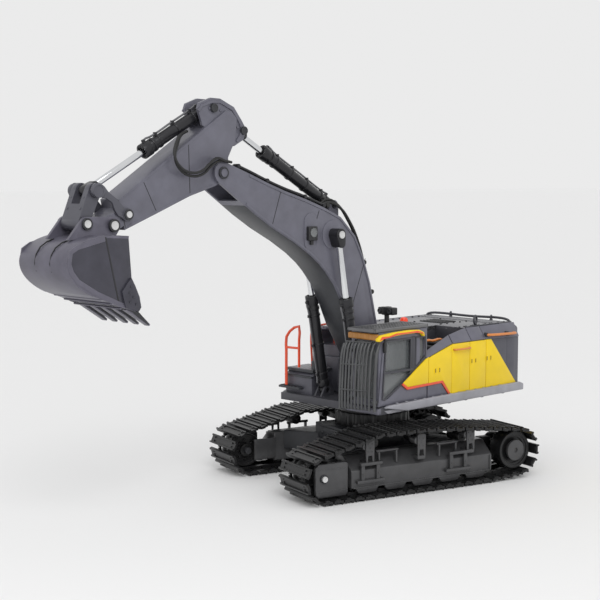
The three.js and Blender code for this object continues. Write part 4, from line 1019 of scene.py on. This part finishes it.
# left side: slate shell that drops towards the cab, yellow doors over it
shell = [plate("left_shell", [(-118, 92.4), (-8.6, 92.4), (-8.6, 136), (-46, 148.6), (-118, 149.6)], (71.6, 74.6),
               0.8)]
rearSide = plate("left_rear_side", [(-174, 92.4), (-118, 92.4), (-118, 149.4), (-174, 148.6)], (71.6, 74.6), 0.8)
fit(rearSide, "house", weightPaint)
shoulders = [
    [(-172, 74.6, 147.4), (-108.4, 74.6, 149.4), (-106.5, 66.5, 163.6), (-172, 66.5, 163.6)],
    [(-107.6, 74.6, 149.4), (-82.6, 74.6, 149.4), (-81.2, 66.5, 163.9), (-105.7, 66.5, 163.6)],
    [(-81.8, 74.6, 149.4), (-49.4, 74.6, 149.2), (-51.3, 67, 158.2), (-80.4, 66.5, 163.8)],
    [(-48.6, 74.6, 149), (-5, 74.6, 136.6), (-8, 68.6, 142.6), (-50.5, 67, 157.6)],
]
shell += [panel("shoulder", corners, 2.4) for corners in shoulders]
fitAll("left_body_shell", shell, "house", "slate_plastic", slate, ["left_side_panel"])
yellow = [(-47.4, 93.2), (-168.4, 93.2), (-119.2, 149.4), (-49.5, 149.6), (-14.5, 139.8), (-9.3, 137.9),
          (-8.2, 139.4), (-3.9, 137.2), (33.6, 114.6), (26.3, 109.6), (-32.5, 110.7)]
seams = (-168.6, -110.0, -80.2, -47.9, -8.2, 34)
doors = []
for low, high in zip(seams, seams[1:]):
    piece = sliced(yellow, low + 0.3, high - 0.3)
    doors.append(plate("yellow_door", piece, (74.3, 76.2), 0.45))
latchPlaces = [(x + dx, z) for x, z in ((-118, 128), (-90, 127.5), (-26, 123)) for dx in (0, 7)]
doors += [block("latch", (x - 0.9, x + 0.9), (76, 76.9), (z - 3, z + 3), 0.3) for x, z in latchPlaces]
fitAll("yellow_doors", doors, "house", "yellow_plastic", yellowPaint, [])
latches = [block("latch_slot", (x - 0.5, x + 0.5), (76.5, 77.1), (z - 2.2, z + 2.2), 0.1) for x, z in latchPlaces]
fitAll("door_latches", latches, "house", "black_plastic", blackMoulding)
border = [(33.6, 114.6), (35.6, 112.8), (26.9, 106.6), (-31, 107.8), (-44.2, 93.2), (-47.6, 93.2), (-33.4, 110.9),
          (26.0, 109.5)]
stripes = [plate("orange_border", border, (74.2, 76.0), 0.35)]
fitAll("door_border", stripes, "house", "orange_plastic", orangePaint)
grips = [handle("door_grip", (-51, 76, 143.4), (-78, 76, 143.2), (0, 3.4, 0), 1.1),
         handle("rear_grip", (-112, 73.5, 154.8), (-164, 73.5, 153), (0, 5, 0), 1.6)]
fitAll("left_grips", grips, "house", "orange_plastic", gripOrange)
gripStubs = [bar("grip_stub", (x, 69, z), (x, 77, z), 2.6, 16) for x, z in ((-111, 154.8), (-150, 153.4))]
fitAll("grip_stubs", gripStubs, "house", "black_plastic", blackMoulding)

# right side: slate doors, grille, handles
fromCad("right_side_panel", slate, 0.9)
rightDoors, rightGrilles = [], []
for low, high in ((-148, -112), (-111, -76), (-75, -30), (-29, 18)):
    rightDoors.append(block("right_door", (low + 0.4, high - 0.4), (-76, -74.6), (95, 147), 0.6))
for x0 in (-105, -69):
    for i in range(7):
        rightGrilles.append(block("louvre", (x0, x0 + 24), (-77, -75.6), (108 + i * 4.6, 110 + i * 4.6), 0.5))
fitAll("right_doors", rightDoors, "house", "slate_plastic", slate)
for x in (-120, -82, -38, 8):
    rightGrilles.append(block("right_latch", (x - 1, x + 1), (-77, -75.6), (126, 132), 0.4))
fitAll("right_louvres", rightGrilles, "house", "black_plastic", blackMoulding)
rightGrips = [handle("right_grip", (-36, -76, 143), (-70, -76, 143), (0, -3.4, 0), 1.1),
              handle("right_rear_grip", (-104, -73.5, 154.8), (-147, -73.5, 153), (0, -3.8, 0), 1.6)]
fitAll("right_grips", rightGrips, "house", "orange_plastic", orangePaint)

# counterweight: rounded casting with a step, lamps and lifting lugs
fromCad("counterweight", weightPaint, 1.6, 3, 32,
        (((-175, 0, 162.4), (-0.75, 0, 0.66)), ((0, 75, 149.6), (0, 0.861, 0.508)),
         ((0, -75, 149.6), (0, -0.861, 0.508))))
weightTrim = []
for i in range(5):
    weightTrim.append(bar("rear_hinge", (-182.4, -40 + i * 20 - 5, 154), (-182.4, -40 + i * 20 + 5, 154), 2, 16))
for i in range(7):
    weightTrim.append(bar("rear_rib", (-183, -58, 97 + i * 7), (-183, 55, 97 + i * 7), 2.9, 20, bevel=1))
fitAll("counterweight_trim", weightTrim, "house", "slate_metal", weightPaint)
rearLamps = [block("rear_lamp", (-187, -183), (y - 8, y + 8), (141.6, 146), 0.9, 3) for y in (-44, 44)]
fitAll("rear_lamps", rearLamps, "house", "orange_plastic", beaconRed)
# top deck: tread plates inside a rim, engine well, lifting eyes, vents
hood = [block("hood_rear", (-149, -89), (-60, 61), (158, 163.6), 0.5),
        block("hood_right", (-89, -24), (-60, 0), (158, 163.6), 0.5),
        block("hood_bridge", (-89, -30), (-2, 19), (158, 163.6), 0.5),
        block("hood_end", (-172, -149), (-59, 59), (163, 164.4), 0.4)]
fitAll("engine_deck", hood, "house", "slate_metal", treadPlate, ["engine_hood"])
walls = [block("well_rear_wall", (-91, -88.6), (19, 66), (120, 163.4), 0.5),
         block("well_right_wall", (-89, -24), (16.6, 19), (120, 163.4), 0.5),
         block("well_front_wall", (-32, -29.6), (-60, 18), (120, 163.4), 0.5)]
fitAll("engine_well_walls", walls, "house", "slate_metal", slateDark)
well = [block("well_floor", (-90, -10), (18, 70), (118, 121), 0.5),
        block("well_engine", (-80, -40), (24, 60), (121, 146), 3, 3)]
for i in range(4):
    well.append(bar("well_pipe", (-76 + i * 9, 22, 148), (-76 + i * 9, 62, 148), 2.4, 16))
fitAll("engine_well", well, "house", "black_plastic", blackMoulding)
wellHose = tube("well_hose", [(-12, 52, 150), (-22, 60, 154.6), (-34, 60, 153.4), (-46, 60, 154), (-56, 58, 150)],
                1.5)
fit(wellHose, "house", gripOrange)
deckTrim = [block("rim_left", (-176, -90), (60, 63), (163.2, 165), 0.7, 3),
            block("rim_right", (-176, -20), (-63, -60), (161, 164.4), 0.7, 3),
            tube("rim_rear", [(-166, -60, 163), (-167, -58, 166), (-176, 0, 166.4), (-175, 58, 166),
                              (-174, 62, 163)], 1.5)]
for x, y, size in ((-174, -28, 2.2), (-110, 60, 4.8), (-174, 34, 2.2)):
    shopFloor()
    bpy.ops.mesh.primitive_torus_add(major_radius=size * mm, minor_radius=(0.5 + size / 6) * mm, major_segments=32,
                                     minor_segments=12, location=(x * mm, y * mm, (164.8 + size * 1.3) * mm),
                                     rotation=(pi / 2, 0, 0.35))
    eye = named(bpy.context.object, "lifting_eye")
    settle(eye)
    bpy.ops.object.shade_smooth()
    deckTrim.append(eye)
    deckTrim.append(bar("eye_foot", (x, y, 163.6), (x, y, 165.6), size * 0.9, 16))
for x in range(-170, -60, 12):
    deckTrim += [bar("rim_bolt", (x, y, 163.8), (x, y, 165), 1.1, 6, bevel=0.2) for y in (56, -56)]
fitAll("deck_rims", deckTrim, "house", "charcoal_metal", slateDark)
bolts = [bar("deck_bolt", (x, y, 163.4), (x, y, 164.6), 1.3, 6, bevel=0.2) for x in range(-144, -92, 12)
         for y in (-54, -20, 20, 55)]
fitAll("deck_bolts", bolts, "house", "black_metal", blackMoulding)
vents = [block("hood_vent", (-132 + i * 6, -129.4 + i * 6), (-20, 14), (163, 164.8), 0.4) for i in range(5)]
fitAll("hood_vents", vents, "house", "black_plastic", blackMoulding)
cameraParts = [block("camera_head", (-20, -11), (-2, 20), (180.4, 188.6), 1, 3),
               block("camera_core", (-21, -10), (4, 11), (180, 189.2), 1),
               bar("camera_post", (-15.6, 7.6, 160), (-15.6, 7.6, 181), 2.8, 20),
               block("camera_foot", (-24, -9), (0, 16), (158, 163), 0.8)]
fitAll("camera_mast", cameraParts, "house", "black_plastic", blackMoulding, ["camera_box"])
boxTrim = [bar("lens_ring", (-11.4, y, 184.6), (-9.6, y, 184.6), 2.6, 28, ((0.8, 0.6),)) for y in (1, 16)]
fitAll("camera_trim", boxTrim, "house", "black_plastic", charcoal)

low, high = (inHouse(corner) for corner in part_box("beacon"))
bx, by, bz = (low.x + high.x) / 2, (low.y + high.y) / 2, low.z
beaconParts = [bar("beacon_lens", (bx, by, bz - 0.5), (bx, by, bz + 8.4), 4.6, 36, (), 3)]
fitAll("beacon_lens", beaconParts, "house", "orange_plastic", beaconRed, ["beacon"])
fit(bar("beacon_foot", (bx, by, bz - 4), (bx, by, bz + 0.4), 5.6, 36), "house",
    blackMoulding)

# cab
fromCad("cab_shell", slate, 1.4, 3)
fromCad("operator_seat", blackMoulding, 2, 3)
fromCad("left_cab_glass", glass, 0)
fromCad("front_cab_glass", glass, 0)
frames = []


def ringPlate(name, outline, inset, span):      # a window surround
    obj = sheet(name, [(x, span[0], z) for x, z in outline])
    bpy.ops.mesh.inset(thickness=inset * mm, depth=0)
    bpy.ops.mesh.delete(type='FACE')
    bpy.ops.mesh.select_all(action='SELECT')
    return pushed(obj, (0, span[1] - span[0], 0), 0.3)


window = [(61, 163), (66.4, 100), (62, 98.6), (33, 113.4), (19.6, 121.4), (18.6, 163)]
frames.append(ringPlate("door_frame", window, 2, (73.2, 75.0)))
rearWindow = [(12.4, 163), (13.4, 127.4), (-3.4, 138.6), (-5.4, 141.6), (-5, 163)]
frames.append(ringPlate("rear_frame", rearWindow, 1.8, (73.2, 75.0)))
frames.append(block("door_bar", (16, 64), (73.4, 74.9), (126.8, 129.2), 0.4))
frames.append(block("door_pillar", (12.6, 18.6), (72.4, 74.6), (121, 164), 0.6))
fitAll("cab_window_frames", frames, "house", "slate_plastic", slateDark)
mirror = [block("mirror_head", (63, 66), (74.6, 78), (150, 161), 1, 3),
          tube("mirror_arm", [(64, 73, 164), (64.6, 77, 164), (64.6, 77, 160)], 0.9),
          block("door_handle", (21, 27), (74.4, 76), (123.4, 124.8), 0.4)]
fitAll("cab_mirror", mirror, "house", "black_plastic", blackMoulding)
columns = []
columns.append(tube("pillar_rail", [(70.8, 73.6, 93), (69.4, 74.6, 112), (66.4, 74.6, 140), (61.6, 74.2, 164)], 1.3))
fitAll("cab_trim", columns, "house", "slate_plastic", slate)

guard = {"low": 35.6, "high": 74.4, "bottom": 88.6, "top": 160.6, "near": 73.6, "far": 85.4, "lean": 5, "bars": 8}
gy = [guard["low"], guard["high"]]


def onGuard(y, z, out=0):      # bowed in plan, leaning out at the foot
    across = (y - gy[0]) / (gy[1] - gy[0])
    rise = (guard["top"] - z) / (guard["top"] - guard["bottom"])
    return (guard["far"] + (guard["near"] - guard["far"]) * across ** 1.5 + guard["lean"] * rise + out, y, z)


bars = []
for i in range(guard["bars"]):
    y = gy[0] + 3.2 + (gy[1] - gy[0] - 12.5) * i / (guard["bars"] - 1)
    route = [onGuard(y, z, dx) for z, dx in ((90.4, -0.4), (100, 0.6), (125, 1.4), (148, 0.8), (157, -1),
                                             (161.4, -4))]
    bars.append(tube("guard_bar", route, 1.3))
for z in (90.4, 110.6, 137.6, 161.2):
    dx = 2.2 if 100 < z < 150 else -2
    bars.append(tube("guard_cross", [onGuard(gy[0] + 1.6 + (gy[1] - gy[0] - 9) * i / 5, z, dx) for i in range(6)],
                     0.85))
for y, radius in ((gy[0], 1.5), (gy[1] - 5.4, 1.35), (gy[1], 1.6)):
    bars.append(tube("guard_post", [onGuard(y, z, dx) for z, dx in ((88.8, -0.6), (104, 0.6), (130, 1.2), (150, 0.4),
                                                                    (158.6, -2.6))],
                     radius))
bars.append(tube("guard_return", [onGuard(gy[1], 158.6, -2.6), onGuard(gy[1] - 1.6, 161.8, -4),
                                  onGuard(gy[1] - 4.6, 160.4, -3.4),
                                  onGuard(gy[1] - 5.4, 157, -1.6)], 1.35))
for y in (gy[0] + 1, gy[1] - 2.6):
    for z in (98, 150):
        bars.append(block("guard_lug", (70.4, onGuard(y, z)[0]), (y - 1.5, y + 1.5), (z - 1.6, z + 1.6), 0.5))
fitAll("front_guard_bars", bars, "house", "charcoal_metal", guardGrey, ["front_guard"])

roofY = (35.2, 75.4)
roof = [block("roof_edge", (-8, 79), (roofY[0], roofY[0] + 2.4), (172.3, 175.6), 0.7),
        block("roof_edge", (-8, 79), (roofY[1] - 2.4, roofY[1]), (172.3, 175.6), 0.7),
        block("roof_edge", (-8, -5.6), roofY, (172.3, 175.6), 0.7), block("roof_edge", (76.6, 79), roofY,
                                                                        (172.3, 175.6), 0.7),
        block("roof_pan", (-7, 78), (36, 74.6), (172.3, 173.3), 0.3)]
for i in range(19):
    x = -2.5 + i * 4.3
    roof.append(block("roof_slat", (x, x + 1.2), (37, 74), (173.1, 175.3), 0))
for i in range(8):
    y = 40.4 + i * 4.3
    roof.append(block("roof_slat", (-6.4, 77.4), (y, y + 1.2), (173.1, 175.1), 0))
fitAll("roof_grid", roof, "house", "charcoal_metal", roofGrey, ["roof_guard"])
visor = [block("amber_front", (72, 76.4), (33.6, 76), (163.8, 170.4), 1.4, 3)]
fitAll("amber_visor", visor, "house", "amber_plastic", amber, ["roof_light_bar"])
sideStrip = [(77.2, 163.2), (77.2, 166), (73, 169.4), (52, 171), (28, 171.6), (10, 170.6), (2.6, 167.6), (0.6, 163.2),
             (3.4, 163), (6.4, 166.4), (14, 167.6), (40, 167.4), (66, 165.8), (72.6, 162.6)]
fit(plate("yellow_roof_strip", sideStrip, (74.2, 78.4), 0.9, 3), "house", yellowPaint)
flame = [(75, 163.6), (71, 168), (60, 167.4), (48, 169.8), (30, 169.6), (14, 170), (6, 168), (2.2, 164.4), (8, 167.2),
         (20, 168.2), (34, 168), (46, 168), (58, 166.2), (68, 165.4)]
fit(plate("orange_roof_stripe", flame, (78.0, 78.8), 0.25), "house", orangePaint)

# right front: tank box, steps and rails
tank = [plate("tank_body", [(22, 92.4), (38, 84.6), (61.6, 84.6), (62, 111), (57, 116.4), (22, 119)], (-77, -35), 1,
              3),
        block("tank_back", (2, 22), (-60, -30), (92.4, 144), 1.2, 3),
        block("tank_shoulder", (6, 30), (-52, -24), (92.4, 132), 1.2, 3)]
fitAll("tank_body", tank, "house", "slate_metal", weightPaint, ["tank_box"])
tankTrim = [block("tank_step", (60, 69), (-81.4, -48), (97, 99.6), 0.7, 2),
            block("tank_top", (24, 61), (-78, -34), (116.4, 119.6), 0.7),
            block("tank_lip", (59.6, 63), (-77.6, -34.6), (110.4, 112.6), 0.6),
            bar("tank_cap", (40, -46, 118), (40, -46, 124), 4.6, 28, ((1, 0.6),)),
            block("hose_bracket", (52, 58), (-40, -34), (116, 130), 1.2, 3)]
for i in range(6):
    tankTrim.append(block("step_tooth", (61, 68.6), (-79 + i * 5.4, -77.6 + i * 5.4), (99.4, 100.4), 0.2))
fitAll("tank_trim", tankTrim, "house", "charcoal_plastic", charcoal)
treadTop = block("tank_tread", (26, 59), (-76, -36), (119.2, 120), 0.2)
fit(treadTop, "house", treadPlate)
farRail = [tube("far_rail", [(36, -60, 118), (36, -60, 162), (32, -60, 165.6), (22, -60, 165.9), (5.2, -60, 164.6),
                             (1.2, -60, 159.3)], 1.25),
           tube("far_grip", [(2, -60, 160.6), (0.6, -60, 156), (-1.4, -60, 147), (-2, -60, 143)], 2.1)]
fitAll("far_deck_rail", farRail, "house", "orange_plastic", orangePaint, ["deck_grab_rail"])
for node in ("front_grab_rail",):
    fromCad(node, orangePaint, 0)
for node, material in (("swing_motor", charcoal), ("battery_pack", blueWrap), ("receiver_board", boardGreen)):
    fromCad(node, material)
motorTrim = [bar("motor_band", (-48, 0, 98), (-48, 0, 100), 13.6, 40),
             bar("motor_band", (-48, 0, 118), (-48, 0, 120), 13.6, 40)]
fitAll("motor_bands", motorTrim, "house", "black_metal", blackMoulding)
print("house made")

size = {"cad": [list(v) for v in cadBox], "visual": [list(v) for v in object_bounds()]}
